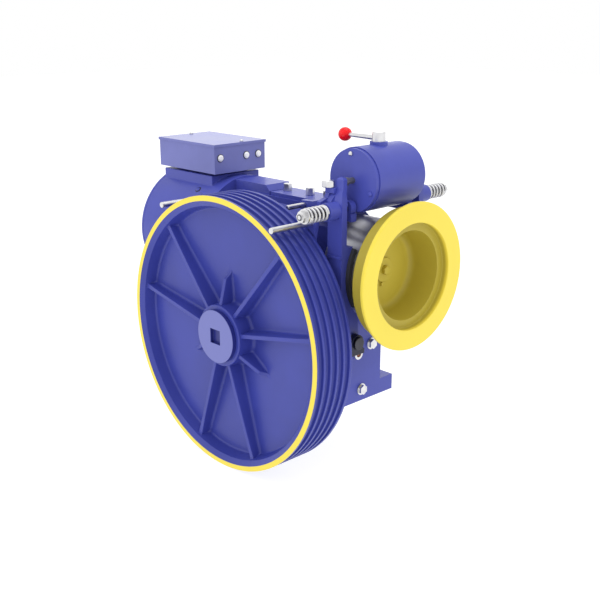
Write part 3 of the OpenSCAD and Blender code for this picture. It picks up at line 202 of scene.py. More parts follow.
def rounded(corners, longest=None, steps=4, support=0.4 * MM):
    """A closed outline from rows of (a, b, radius): each corner becomes an arc tangent to both of
    its sides, with a support point just before and after it, and sides over `longest` are split."""
    corners = np.array(corners, float)
    points = corners[:, :2]
    radius = corners[:, 2]
    back = np.roll(points, 1, 0) - points
    ahead = np.roll(points, -1, 0) - points
    back_len = np.linalg.norm(back, axis=1)
    ahead_len = np.linalg.norm(ahead, axis=1)
    back = back / back_len[:, None]
    ahead = ahead / ahead_len[:, None]
    half = np.arccos(np.clip((back * ahead).sum(1), -1, 1)) / 2
    reach = radius / np.tan(np.maximum(half, 1e-4))
    reach = np.minimum(reach, 0.49 * np.minimum(back_len, ahead_len))
    radius = reach * np.tan(half)
    out = []
    for p, b, a, h, d, r in zip(points, back, ahead, half, reach, radius):
        if r < 1e-6:
            out.append(p[None])
            continue
        bisector = (a + b) / np.linalg.norm(a + b)
        centre = p + bisector * r / math.sin(h)
        sweep = math.pi / 2 - h
        angle = np.linspace(-sweep, sweep, steps + 1)[:, None]
        side = b - bisector * (b @ bisector)
        side = -side / np.linalg.norm(side)
        arc = centre - bisector * r * np.cos(angle) + side * r * np.sin(angle)
        out.append(np.vstack([p + b * (d + support), arc, p + a * (d + support)]))
    outline = np.vstack(out)
    if longest is None:
        return outline
    ends = np.roll(outline, -1, 0)
    count = np.maximum(1, np.ceil(np.linalg.norm(ends - outline, axis=1) / longest)).astype(int)
    return np.vstack([
        s + (e - s) * np.arange(n)[:, None] / n for s, e, n in zip(outline, ends, count)
    ])


def grid(points, close_u=True, cap_first=False, cap_last=False):
    """A surface from a grid of points (u, v, xyz): a quad between each four neighbours, rolled
    round along v and, where it is closed, along u, and one flat face over the first or last row
    where it is capped."""
    nu, nv = points.shape[:2]
    index = np.arange(nu * nv).reshape(nu, nv)
    rows = index if close_u else index[:-1]
    next_row = np.roll(index, -1, 0) if close_u else index[1:]
    quads = np.stack([rows, next_row, np.roll(next_row, -1, 1), np.roll(rows, -1, 1)], -1)
    faces = quads.reshape(-1, 4).tolist()
    if cap_first:
        faces.append(index[0].tolist())
    if cap_last:
        faces.append(index[-1][::-1].tolist())
    return points.reshape(-1, 3), faces


def join(shells):
    """Several shells (points, faces) as one."""
    points, faces, start = [], [], 0
    for p, f in shells:
        points.append(p)
        faces.extend([[i + start for i in face] for face in f])
        start += len(p)
    return np.vstack(points), faces


AXES = {
    "+X": ((0, 1, 0), (0, 0, 1), (1, 0, 0)),
    "-X": ((0, -1, 0), (0, 0, 1), (-1, 0, 0)),
    "+Y": ((-1, 0, 0), (0, 0, 1), (0, 1, 0)),
    "-Y": ((1, 0, 0), (0, 0, 1), (0, -1, 0)),
    "+Z": ((1, 0, 0), (0, 1, 0), (0, 0, 1)),
    "-Z": ((-1, 0, 0), (0, 1, 0), (0, 0, -1)),
}


def laid(shell, axis, origin, turn=0.0):
    """The shell with its own Z laid along an axis, turned about it, and moved to its origin."""
    points, faces = shell
    c, s = math.cos(turn), math.sin(turn)
    spun = points @ np.array([[c, s, 0], [-s, c, 0], [0, 0, 1]])
    return spun @ np.array(AXES[axis], float) + np.array(origin, float), faces


def turned(outline, steps=96):
    """A lathe shape about Z: each point (radius, z) of a closed outline goes once round."""
    angle = np.linspace(0, 2 * math.pi, steps, endpoint=False)[:, None]
    r, z = outline[:, 0][None], outline[:, 1][None]
    return grid(np.stack([r * np.cos(angle), r * np.sin(angle), z + 0 * angle], -1))


def turned_solid(rows, steps=96):
    """A lathe shape that is solid to its axis, from an open run of (radius, z, corner radius)."""
    rows = [list(row) for row in rows]
    closed = [[1e-5, rows[0][1], 0]] + rows + [[1e-5, rows[-1][1], 0]]
    outline = rounded(closed)
    angle = np.linspace(0, 2 * math.pi, steps, endpoint=False)[None]
    r, z = outline[:, 0][:, None], outline[:, 1][:, None]
    points = np.stack([r * np.cos(angle), r * np.sin(angle), z + 0 * angle], -1)
    return grid(points, close_u=False, cap_first=True, cap_last=True)


def hexagon(across, height, washer=(0.0, 0.0)):
    """A bolt head or nut about Z over its round washer. The radius is the lesser of the hexagon's
    and, near both ends, of a cone's that cuts the corners away."""
    start, slope = 0.93, 0.55
    flat = across / 2
    angle = np.linspace(0, 2 * math.pi, 48, endpoint=False)[None]
    six = flat / np.cos((angle + math.pi / 6) % (math.pi / 3) - math.pi / 6)
    corner = (2 / math.sqrt(3) - start) * flat
    drop = slope * corner
    level = np.array([0, 0.3, 0.65, 1]) * drop
    level = np.concatenate([level, height - level[::-1]])[:, None]
    nearest = np.minimum(level, height - level)
    r = np.minimum(six, start * flat + nearest / slope)
    points = np.stack([r * np.cos(angle), r * np.sin(angle), level + washer[1] + 0 * angle], -1)
    head = grid(points, close_u=False, cap_first=True, cap_last=True)
    if washer[1] <= 0:
        return head
    radius, thick = washer
    return join([turned_solid([(radius, 0, 0.3 * MM), (radius, thick, 0.5 * MM)], 48), head])


def dome(radius, height):
    """A button about Z: straight sides and a crowned top."""
    return turned_solid([
        (radius, 0, 0.1 * MM), (radius, 0.55 * height, 0.4 * height),
        (0.55 * radius, height, 0.3 * height),
    ], 40)


def ball(radius, centre):
    """A sphere, with a small flat face over each pole."""
    angle = np.linspace(0.03, math.pi - 0.03, 40)[:, None]
    turn = np.linspace(0, 2 * math.pi, 64, endpoint=False)[None]
    points = np.stack([
        np.sin(angle) * np.cos(turn), np.sin(angle) * np.sin(turn), np.cos(angle) + 0 * turn
    ], -1)
    return grid(points * radius + np.array(centre), close_u=False, cap_first=True, cap_last=True)


def tube(path, radius, sides=16):
    """A round bar along a path: rings square to it, turned as little as possible from one to the
    next, with a flat face over each end."""
    path = np.asarray(path, float)
    radius = np.broadcast_to(np.asarray(radius, float), len(path))
    along = np.gradient(path, axis=0)
    along /= np.linalg.norm(along, axis=1)[:, None]
    normal = np.zeros_like(along)
    seed = np.eye(3)[np.abs(along[0]).argmin()]
    for i, a in enumerate(along):
        seed = seed - a * (seed @ a)
        seed = seed / np.linalg.norm(seed)
        normal[i] = seed
    across = np.cross(along, normal)
    angle = np.linspace(0, 2 * math.pi, sides, endpoint=False)[None, :, None]
    ring = normal[:, None] * np.cos(angle) + across[:, None] * np.sin(angle)
    points = path[:, None] + ring * radius[:, None, None]
    return grid(points, close_u=False, cap_first=True, cap_last=True)


# ---- Objects ----


def add(name, shell, finish_name, body, stands_for=(), slot=None):
    """Makes the shell an object that rides on a body and stands for the named CAD nodes. The slot
    argument is not used."""
    points, faces = shell
    mesh = bpy.data.meshes.new(name)
    mesh.from_pydata(points.tolist(), [], faces)
    bm = bmesh.new()
    bm.from_mesh(mesh)
    bmesh.ops.remove_doubles(bm, verts=bm.verts, dist=2e-6)
    bmesh.ops.recalc_face_normals(bm, faces=bm.faces)
    bm.to_mesh(mesh)
    bm.free()
    return finish(name, mesh, finish_name, body, stands_for, slot, SHARP_ANGLE)


def finish(name, mesh, finish_name, body, stands_for, slot, sharp_angle):
    """Shades a mesh smooth between its sharp edges and gives it to an object of its own."""
    mesh.polygons.foreach_set("use_smooth", np.ones(len(mesh.polygons), bool))
    mesh.set_sharp_from_angle(angle=sharp_angle)
    mesh.materials.clear()
    mesh.materials.append(FINISHES[finish_name])
    piece = bpy.data.objects.new(name, mesh)
    bpy.context.scene.collection.objects.link(piece)
    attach(piece, body)
    if stands_for:
        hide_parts(*stands_for)
    return piece


def softened(name, node, width, finish_name, body, slot=None, flat=0.5):
    """A copy of a CAD node with its edges rounded by a width in millimetres. Its flat faces are made
    whole first, where the triangles lie within the angle `flat`, in degrees, of each other."""
    mesh = frame["nodes"][node].data.copy()
    mesh.name = name
    bm = bmesh.new()
    bm.from_mesh(mesh)
    bmesh.ops.remove_doubles(bm, verts=bm.verts, dist=1e-5)
    bmesh.ops.dissolve_limit(
        bm, angle_limit=math.radians(flat), verts=bm.verts, edges=bm.edges, delimit={"NORMAL"}
    )
    bm.to_mesh(mesh)
    bm.free()
    if mesh.has_custom_normals:
        mesh.normals_split_custom_set([(0, 0, 0)] * len(mesh.loops))
    piece = finish(name, mesh, finish_name, body, [node], slot, CASTING_SHARP_ANGLE)
    bevel = piece.modifiers.new("Rounded edges", "BEVEL")
    bevel.width = width * MM
    bevel.segments = 3
    bevel.limit_method = "ANGLE"
    bevel.angle_limit = CASTING_SHARP_ANGLE
    bevel.use_clamp_overlap = True
    bevel.harden_normals = False
    weighted = piece.modifiers.new("Flat faces stay flat", "WEIGHTED_NORMAL")
    weighted.keep_sharp = False
    weighted.weight = 80
    return piece


def solids(node):
    """The corner points of each separate solid of a CAD node. Every point takes the lowest label
    among its neighbours until none changes."""
    mesh = frame["nodes"][node].data
    points = np.empty(len(mesh.vertices) * 3)
    mesh.vertices.foreach_get("co", points)
    points = points.reshape(-1, 3)
    same = np.unique(np.round(points * 1e5), axis=0, return_inverse=True)[1].ravel()
    edges = np.empty(len(mesh.edges) * 2, int)
    mesh.edges.foreach_get("vertices", edges)
    edges = same[edges.reshape(-1, 2)]
    label = np.arange(same.max() + 1)
    while True:
        lowest = label[edges].min(1)
        lower = label.copy()
        np.minimum.at(lower, edges[:, 0], lowest)
        np.minimum.at(lower, edges[:, 1], lowest)
        lower = lower[lower]
        if (lower == label).all():
            break
        label = lower
    return [points[label[same] == k] for k in np.unique(label)]


def heads(node, prefer="+Z"):
    """Each bolt, screw or nut of a CAD node as (axis, seat, radius, height, washer): the axis is
    the one along which its end face is a ring of corners and no other part reaches further out."""
    found = []
    order = sorted(AXES, key=lambda axis: axis != prefer)
    for points in solids(node):
        centre = (points.min(0) + points.max(0)) / 2
        for axis in order:
            along = np.array(AXES[axis][2], float)
            level = points @ along
            flat = points - centre - np.outer(level - centre @ along, along)
            away = np.linalg.norm(flat, axis=1)
            end = level > level.max() - TOUCHING
            radius = away[end].max()
            foot = away[level < level.min() + TOUCHING].max()
            if np.ptp(away[end]) < 0.02 * radius and foot < 1.02 * radius:
                break
        wide = away > 1.05 * radius
        washer = (away[wide].max(), np.ptp(level[wide])) if wide.any() else (0.0, 0.0)
        seat = level[away > 0.97 * radius].min()
        place = centre + along * (seat - centre @ along)
        found.append((axis, place, radius, level.max() - seat - washer[1], washer))
    return found


def hex_heads(name, node, prefer="+Z", washer=0.0):
    """Chamfered hexagons for all the bolts or nuts of a node, on washers of the given height, each
    turned a little further than the last."""
    shells = []
    for k, (axis, place, radius, height, under) in enumerate(heads(node, prefer)):
        if washer and not under[1]:
            under = (1.18 * radius, washer)
            height -= washer
        shells.append(laid(hexagon(1.732 * radius, height, under), axis, place, 0.35 * k))
    return add(name, join(shells), "zinc_steel", "frame", [node])


def buttons(name, screws, finish_name, stands_for=()):
    """Crowned buttons over screw heads, as heads() lists them."""
    shells = [laid(dome(radius, height), axis, place) for axis, place, radius, height, _ in screws]
    return add(name, join(shells), finish_name, "frame", stands_for)


# ---- Shader maths ----


class Value:
    """An output socket on which Python's operators add Math nodes."""

    def __init__(self, tree, socket):
        self.tree = tree
        self.socket = socket

    def maths(self, operation, *values):
        return self.tree.node("ShaderNodeMath", {"operation": operation}, dict(enumerate(values)))

    def __add__(self, other):
        return self.maths("ADD", self, other)

    __radd__ = __add__

    def __sub__(self, other):
        return self.maths("SUBTRACT", self, other)

    def __rsub__(self, other):
        return self.maths("SUBTRACT", other, self)

    def __mul__(self, other):
        return self.maths("MULTIPLY", self, other)

    __rmul__ = __mul__

    def __pow__(self, other):
        return self.maths("POWER", self, other)

    def __rpow__(self, other):
        return self.maths("POWER", other, self)

    def __lt__(self, other):
        return self.maths("LESS_THAN", self, other)

    def __gt__(self, other):
        return self.maths("GREATER_THAN", self, other)

    def sin(self):
        return self.maths("SINE", self)

    def smooth(self, start, end):
        """0 below start, 1 above end, and a smooth ramp between."""
        return self.tree.node(
            "ShaderNodeMapRange", {"interpolation_type": "SMOOTHSTEP"},
            {"Value": self, "From Min": start, "From Max": end},
        )


class Finish:
    """A material being built: nodes are added by one method and end in a Principled BSDF."""

    def __init__(self, name, **constants):
        self.material = bpy.data.materials.new(name)
        self.material.use_nodes = True
        self.nodes = self.material.node_tree.nodes
        self.links = self.material.node_tree.links
        self.shader = self.nodes["Principled BSDF"]
        for socket, value in constants.items():
            self.shader.inputs[socket.replace("_", " ")].default_value = value
        place = self.nodes.new("ShaderNodeTexCoord")
        self.place = Value(self, place.outputs["Object"])

    def node(self, kind, settings=None, inputs=None, output=0):
        """Adds a node of a type, with its settings and then the values or links of its sockets."""
        made = self.nodes.new(kind)
        for key, value in (settings or {}).items():
            setattr(made, key, value)
        for key, value in (inputs or {}).items():
            if isinstance(value, Value):
                self.links.new(value.socket, made.inputs[key])
            else:
                made.inputs[key].default_value = value
        return Value(self, made.outputs[output])

    def axes(self, centre=(0, 0, 0)):
        """The X, Y and Z of a point on the surface, counted from a centre, in metres."""
        moved = self.node(
            "ShaderNodeVectorMath", {"operation": "SUBTRACT"}, {0: self.place, 1: centre}
        )
        split = self.nodes.new("ShaderNodeSeparateXYZ")
        self.links.new(moved.socket, split.inputs[0])
        return [Value(self, split.outputs[i]) for i in range(3)]

    def noise(self, scale, detail=3.0, roughness=0.5):
        """A cloud from 0 to 1 on the surface, finer as the scale grows."""
        return self.node(
            "ShaderNodeTexNoise", {},
            {"Vector": self.place, "Scale": scale, "Detail": detail, "Roughness": roughness},
        )

    def mix(self, factor, first, second):
        """A colour that goes from the first to the second as the factor goes from 0 to 1."""
        def full(c):
            return c if isinstance(c, Value) else (*c, 1.0)
        return self.node(
            "ShaderNodeMix", {"data_type": "RGBA"}, {0: factor, 6: full(first), 7: full(second)}, 2
        )

    def bump(self, height, distance, strength=1.0, normal=None):
        """A normal tilted by a height, in steps of a distance in metres, over another normal."""
        inputs = {"Height": height, "Distance": distance, "Strength": strength}
        if normal is not None:
            inputs["Normal"] = normal
        return self.node("ShaderNodeBump", {}, inputs)

    def set(self, **sockets):
        """Links the shader's sockets and gives the material."""
        for socket, value in sockets.items():
            self.links.new(value.socket, self.shader.inputs[socket.replace("_", " ")])
        return self.material


def tint(c, factor):
    """The colour made darker or lighter by a factor."""
    return tuple(min(1.0, v * factor) for v in c)


def enamelled(name, coat=0.1, specular=0.32, scale=9):
    """An enamel being built, and the slow cloud that varies its colour."""
    f = Finish(name, Coat_Weight=coat, Coat_Roughness=0.2, Specular_IOR_Level=specular)
    return f, f.noise(scale, 4, 0.55)


def skin(f, grain=0.00012, peel=0.00003):
    """The normal of sprayed enamel: the grain of the sand over orange peel."""
    return f.bump(f.noise(420, 4, 0.6), grain, 0.6, f.bump(f.noise(160, 2), peel))


def enamel(name, base, grain=0.00012, rough=0.38):
    """Sprayed enamel over a casting: cloudy colour, a little dust, orange peel and sand."""
    f, cloud = enamelled(name)
    dust = f.noise(38, 5, 0.65).smooth(0.55, 0.85)
    body = f.mix(cloud.smooth(0.3, 0.75), tint(base, 0.93), tint(base, 1.07))
    body = f.mix(dust * 0.10, body, tint(base, 1.35))
    roughness = rough + 0.10 * (cloud - 0.5) + 0.08 * dust
    return f.set(Base_Color=body, Roughness=roughness, Normal=skin(f, grain))


def ringed_enamel(name, base, ring, ring_radius, front):
    """The sheave's enamel, with the flat ring on its front edge in the second colour."""
    f, cloud = enamelled(name)
    x, y, z = f.axes((0, front, SHEAVE_Z))
    radius = (x * x + z * z) ** 0.5
    wobble = (f.noise(300, 2) - 0.5) * 0.0004
    on_ring = ((radius + wobble) > ring_radius) * (y < 0.0012)
    blue = f.mix(cloud.smooth(0.3, 0.75), tint(base, 0.93), tint(base, 1.07))
    yellow = f.mix(cloud.smooth(0.3, 0.75), tint(ring, 0.95), ring)
    shade = f.mix(on_ring, blue, yellow)
    return f.set(Base_Color=shade, Roughness=0.36 + 0.1 * (cloud - 0.5), Normal=skin(f))


def disc_enamel_with_painted_light(name, base, edge, face):
    """The shaft disc's enamel: pale on its face as painted light, near-black blue round its edge and
    in its pocket as painted shade.
    """
    f, cloud = enamelled(name, coat=0.08)
    y = f.axes((0, face, SHEAVE_Z))[Y]
    # Painted shade: every point more than 0.9 mm behind the face takes the near-black blue.
    shade = f.mix(y > 0.0009, f.mix(cloud, tint(base, 0.96), tint(base, 1.04)), edge)
    normal = f.bump(f.noise(420, 4, 0.6), 0.00003)
    return f.set(Base_Color=shade, Roughness=0.34 + 0.1 * (cloud - 0.5), Normal=normal)


def cup_enamel_with_painted_shade(name, base, face, s):
    """The flywheel's enamel: even on the ring, darkened as painted shade inside the cup and on the
    body behind the ring, and rougher there. Depth is counted back from the face."""
    f, cloud = enamelled(name, specular=0.35, scale=10)
    x, y, z = f.axes((face, 0, WORM_Z))
    depth = x * -1.0
    radius = (y * y + z * z) ** 0.5
    inside = 1 - radius.smooth(s.ring_inner + 1.5 * MM, s.ring_inner + 2.2 * MM)
    # Masks of painted shade: inside the ring from 2 to 10 mm deep, and on the body behind the ring.
    cup_shade_mask = depth.smooth(2 * MM, 10 * MM) * inside
    outside = radius.smooth(s.ring_inner + 3 * MM, s.ring_inner + 13 * MM)
    behind = depth.smooth(s.rim_thickness - 1 * MM, s.rim_thickness + 1 * MM) * outside
    painted_shade_mask = 1 - (1 - cup_shade_mask) * (1 - behind)
    unshaded_yellow = f.mix(cloud.smooth(0.3, 0.75), tint(base, 0.96), base)
    # Painted shade: the cup's floor at 0.58 to 0.68 of the yellow, its walls at 0.50.
    floor = f.mix(cloud, tint(base, 0.58), tint(base, 0.68))
    wall = radius.smooth(s.floor_radius - 11 * MM, s.floor_radius - 1 * MM)
    shade = f.mix(painted_shade_mask, unshaded_yellow, f.mix(wall, floor, tint(base, 0.50)))
    roughness = 0.38 + 0.14 * painted_shade_mask + 0.08 * (cloud - 0.5)
    return f.set(Base_Color=shade, Roughness=roughness, Normal=skin(f, 0.0001))


def plated(name, base, rough=0.3, metal=1.0):
    """Steel, plated or oiled: bright metal with a fine haze and a fine grain."""
    f = Finish(name, Metallic=metal)
    haze = f.noise(70, 5, 0.6)
    fine = f.noise(700, 3, 0.6)
    shade = f.mix(haze.smooth(0.3, 0.8), tint(base, 0.9), tint(base, 1.08))
    roughness = rough + 0.16 * (haze - 0.5)
    return f.set(Base_Color=shade, Roughness=roughness, Normal=f.bump(fine, 0.00001))


def turned_metal(name, base, centre, axis, rough=0.3, pitch=0.0012, depth=0.00002):
    """Metal from the lathe: fine rings round the axis, as a wave of the distance along and out."""
    f = Finish(name, Metallic=1.0)
    across = f.axes(centre)
    along = across.pop(axis)
    radius = (across[0] * across[0] + across[1] * across[1]) ** 0.5
    rings = ((along + radius) * (2 * math.pi / pitch)).sin()
    haze = f.noise(30, 4, 0.6)
    shade = f.mix(haze.smooth(0.3, 0.75), tint(base, 0.9), tint(base, 1.08))
    roughness = rough + 0.4 * rough * (haze - 0.5)
    return f.set(Base_Color=shade, Roughness=roughness, Normal=f.bump(rings, depth))


def moulded(name, base, rough=0.35, grain=0.00003, scale=500, **constants):
    """Moulded plastic or rubber: an even colour with a fine grain in the skin."""
    f = Finish(name, **constants)
    cloud = f.noise(40, 3)
    shade = f.mix(cloud, tint(base, 0.92), tint(base, 1.08))
    normal = f.bump(f.noise(scale, 3), grain)
    return f.set(Base_Color=shade, Roughness=rough + 0.1 * (cloud - 0.5), Normal=normal)


FINISHES = {}


def mix_finishes(settings):
    """Every finish of the machine, by the material slot that it belongs to."""
    c = settings.finish
    pale, yellow, zinc = tuple(c.pale_blue), tuple(c.yellow), tuple(c.zinc)
    worm = (0, 0, WORM_Z)
    ring_inner = SHEAVE_R - settings.sheave.ring_width
    FINISHES.update({
        "blue_paint": enamel("blue enamel", tuple(c.blue)),
        # The sheave's blue is the castings' blue made darker, as painted shade; the yellow ring is
        # its own paint.
        "sheave_paint": ringed_enamel(
            "sheave enamel darkened as painted shade", tuple(c.shaded_blue), yellow, ring_inner, SHEAVE_FRONT
        ),
        # Painted light: the blue made paler, on the terminal box, its lid and the disc's face.
        "pale_blue_paint": enamel("pale blue enamel with painted light", pale, grain=0.00003, rough=0.3),
        # The disc: painted light on its face, and painted shade in near-black blue (0.022, 0.028,
        # 0.20) round its edge and in its pocket.
        "disc_paint_lit_and_shaded": disc_enamel_with_painted_light(
            "disc enamel with painted light and shade", pale, (0.022, 0.028, 0.20), low("shaft_end_plate")[Y]
        ),
        # Painted shade: a near-black copy of the blue, on the arm forks and round the motor plug.
        "near_black_painted_shade": enamel("near-black enamel as painted shade", (0.010, 0.012, 0.040)),
        # Dark steel: the pivot pins' own colour, and painted shade on the tie rods inside the
        # springs.
        "oiled_steel_and_painted_shade": plated("oiled steel and painted shade", (0.07, 0.07, 0.085), 0.35),
        "spring_wire": plated("spring wire", zinc, 0.46, metal=0.75),
        # The flywheel's yellow, darkened as painted shade inside the cup and behind the ring.
        "yellow_paint": cup_enamel_with_painted_shade("yellow enamel with painted shade", yellow, high("flywheel")[X], settings.flywheel),
        "zinc_steel": plated("zinc plate", zinc),
        "bearing_steel": turned_metal("ground steel", (0.6, 0.61, 0.63), worm, X),
        "drum_iron": turned_metal("turned drum", (0.55, 0.55, 0.59), worm, X, 0.36, depth=0.000003),
        "core_iron": plated("cast iron", (0.25, 0.25, 0.26), 0.6),
        "bronze": turned_metal("gear bronze", (0.68, 0.42, 0.16), (0, 0, SHEAVE_Z), Y),
        "copper": plated("enamelled copper", (0.6, 0.27, 0.12), 0.35),
        "black_rubber": moulded("black rubber", (0.02, 0.02, 0.02), 0.6),
        "lining": moulded("brake lining", (0.03, 0.03, 0.04), 0.8, 0.0002, 260),
        "red_plastic": moulded("red ball", tuple(c.red), 0.24, 0.00001, Specular_IOR_Level=0.3),
        "white_plastic": moulded("white plug", (0.98, 0.98, 0.98), 0.3),
        # Black plastic, used for the rings round the cable plugs as their painted shadow.
        "black_plastic": moulded("black plastic", (0.03, 0.03, 0.03), 0.45),
        "sight_glass": moulded("amber window", (0.24, 0.055, 0.012), 0.12, 0.000005),
    })


# ---- The sheave ----


def smooth_positive(value, blend):
    """The value where it is well above nought, nought where it is well below, and a bend between."""
    return (value + np.sqrt(value * value + blend * blend)) / 2


def smooth_step(value):
    """0 below 0, 1 above 1, and 3t^2 - 2t^3 between."""
    t = np.clip(value, 0, 1)
    return t * t * (3 - 2 * t)


def sheave_profile(s):
    """The lathe outline of the sheave as (radius, Y, corner radius), from the bore round the
    dished front, over the grooved rim and back along the rear."""
    front, back = SHEAVE_FRONT, SHEAVE_FRONT + s.rim_width
    bore = high("main_shaft")[X]
    web = front + s.dish_depth
    hub_web = web + 8 * MM
    hub_back = high("traction_sheave")[Y]
    ring = SHEAVE_R - s.ring_width
    rows = [
        (bore, front + 3 * MM, 0.3 * MM), (s.hub_radius, front + 3 * MM, 3 * MM),
        (s.hub_radius + 2 * MM, hub_web, 7 * MM), (ring - 17 * MM, web, 5 * MM),
        (ring - 11 * MM, front + 7 * MM, 1.0 * MM), (ring, front, 0.5 * MM),
        (SHEAVE_R, front, 1.2 * MM),
    ]
    floor = SHEAVE_R - 1.4 * s.groove_radius
    mouth = s.groove_radius + 0.6 * MM
    first = (front + back) / 2 - (s.groove_count - 1) / 2 * s.groove_pitch
    for k in range(s.groove_count):
        y = first + k * s.groove_pitch
        rows += [
            (SHEAVE_R, y - mouth, 0.9 * MM), (floor, y - s.groove_radius, 5.2 * MM),
            (floor, y + s.groove_radius, 5.2 * MM), (SHEAVE_R, y + mouth, 0.9 * MM),
        ]
    return rows + [
        (SHEAVE_R, back, 1.5 * MM), (RIM_INNER, back, 1.5 * MM),
        (RIM_INNER - 8 * MM, web + s.web_thickness, 9 * MM),
        (s.hub_radius + 2 * MM, hub_web + s.web_thickness, 9 * MM),
        (s.hub_radius, hub_back, 3 * MM), (bore, hub_back, 0.5 * MM),
    ]


def rib_section(height, half_width, fillet):
    """Half of a rib's cross section for each height: (distance from its middle plane, rise over
    the web) at the flat top, the rounded edge, the leaning flank and the fillet at its foot."""
    edge = np.minimum(1.2 * MM, 0.3 * height)
    foot = np.minimum(fillet, 0.45 * height)
    lean = 0.09 * np.maximum(height - edge - foot, 0)
    out = [(0 * height, height), (half_width - edge - 0.3 * MM, height)]
    for a in np.linspace(0, math.pi / 2, 4):
        out.append((half_width - edge * (1 - math.sin(a)), height - edge * (1 - math.cos(a))))
    out.append((half_width + lean / 2, (height - edge + foot) / 2))
    for a in np.linspace(0, math.pi / 2, 6):
        out.append((half_width + lean + foot * (1 - math.cos(a)), foot * (1 - math.sin(a))))
    out.append((half_width + lean + foot + 0.8 * MM, 0 * height))
    return np.stack([p[0] for p in out], 1), np.stack([p[1] for p in out], 1)


def sheave_shell(s):
    """The sheave as one grid: rows follow the lathe outline, columns follow the ribs' flanks and
    fan out evenly between them, and a rib lifts the dish by its height over it."""
    outline = rounded(sheave_profile(s), longest=9 * MM)
    r, y = outline[:, 0], outline[:, 1]
    web = SHEAVE_FRONT + s.dish_depth
    in_dish = (y < web + 8.5 * MM) & (r > s.hub_radius - 1 * MM) & (r < SHEAVE_R - s.ring_width)
    hub_top = SHEAVE_FRONT + 9 * MM
    ribs = []
    for pair in range(3):
        middle_angle = math.radians(30 + 120 * pair)
        for side in (-1, 1):
            ribs.append((middle_angle + side * s.rib_spread, RIM_INNER, s.rib_rim_height, False))
        ribs.append((middle_angle + math.pi / 3, s.gusset_reach, 8 * MM, True))
    ribs.sort(key=lambda rib: rib[0] % (2 * math.pi))
    angles, rises = [], []
    for angle, reach, outer, ends in ribs:
        share = (r - s.hub_radius) / (reach - s.hub_radius)
        top = hub_top + (web - outer - hub_top) * share
        height = smooth_positive(y - top, 2.5 * MM) * in_dish
        if ends:
            height = height * smooth_step((reach + 2 * MM - r) / (4 * MM))
        half = s.rib_half_width * (1 + 0.25 * smooth_step((r - SHEAVE_R + 70 * MM) / (45 * MM)))
        away, rise = rib_section(height, half, s.fillet)
        turn = np.arcsin(np.clip(away / r[:, None], -1, 1))
        angles.append((angle - turn[:, ::-1], angle + turn[:, 1:]))
        rises.append((rise[:, ::-1], rise[:, 1:]))
    columns, lifts = [], []
    for k, (before, after) in enumerate(angles):
        columns += [before, after]
        lifts += [rises[k][0], rises[k][1]]
        start = after[:, -1:]
        stop = angles[(k + 1) % len(angles)][0][:, :1]
        stop = start + (stop - start) % (2 * math.pi)
        spread = np.linspace(0, 1, 14)[1:-1][None]
        columns.append(start + (stop - start) * spread)
        lifts.append(np.zeros((len(r), spread.shape[1])))
    angle = np.hstack(columns)
    depth = y[:, None] - np.hstack(lifts)
    points = np.stack([r[:, None] * np.cos(angle), depth, SHEAVE_Z + r[:, None] * np.sin(angle)], -1)
    return grid(points)


# ---- Operators ----


class Maker:
    """What every operator of this add-on shares."""

    bl_options = {"REGISTER", "UNDO"}

    def execute(self, context):
        self.make(context.scene.traction_machine)
        return {"FINISHED"}


def paint(slot_name, *nodes):
    """Gives CAD nodes that stay in view one of the finishes."""
    for node in nodes:
        data = frame["nodes"][node].data
        data.materials.clear()
        data.materials.append(FINISHES[slot_name])


class MACHINE_OT_finishes(Maker, bpy.types.Operator):
    """Mix the paints and metals, and give every CAD node the finish of its slot"""

    bl_idname = "machine.finishes"
    bl_label = "Finishes"

    def make(self, settings):
        mix_finishes(settings)
        for part in frame["record"]["subparts"]:
            paint(part["material_slot"], part["node"])


class MACHINE_OT_sheave(Maker, bpy.types.Operator):
    """Make the grooved sheave with its dished, ribbed front"""

    bl_idname = "machine.sheave"
    bl_label = "Sheave"

    def make(self, settings):
        add(
            "sheave_casting", sheave_shell(settings.sheave), "sheave_paint", "sheave",
            ["traction_sheave"], "blue_paint",
        )
        # The disc: painted light on its face, painted shade round its edge and in its pocket.
        softened("shaft_end_disc", "shaft_end_plate", 0.8, "disc_paint_lit_and_shaded", "sheave", "pale_blue_paint")


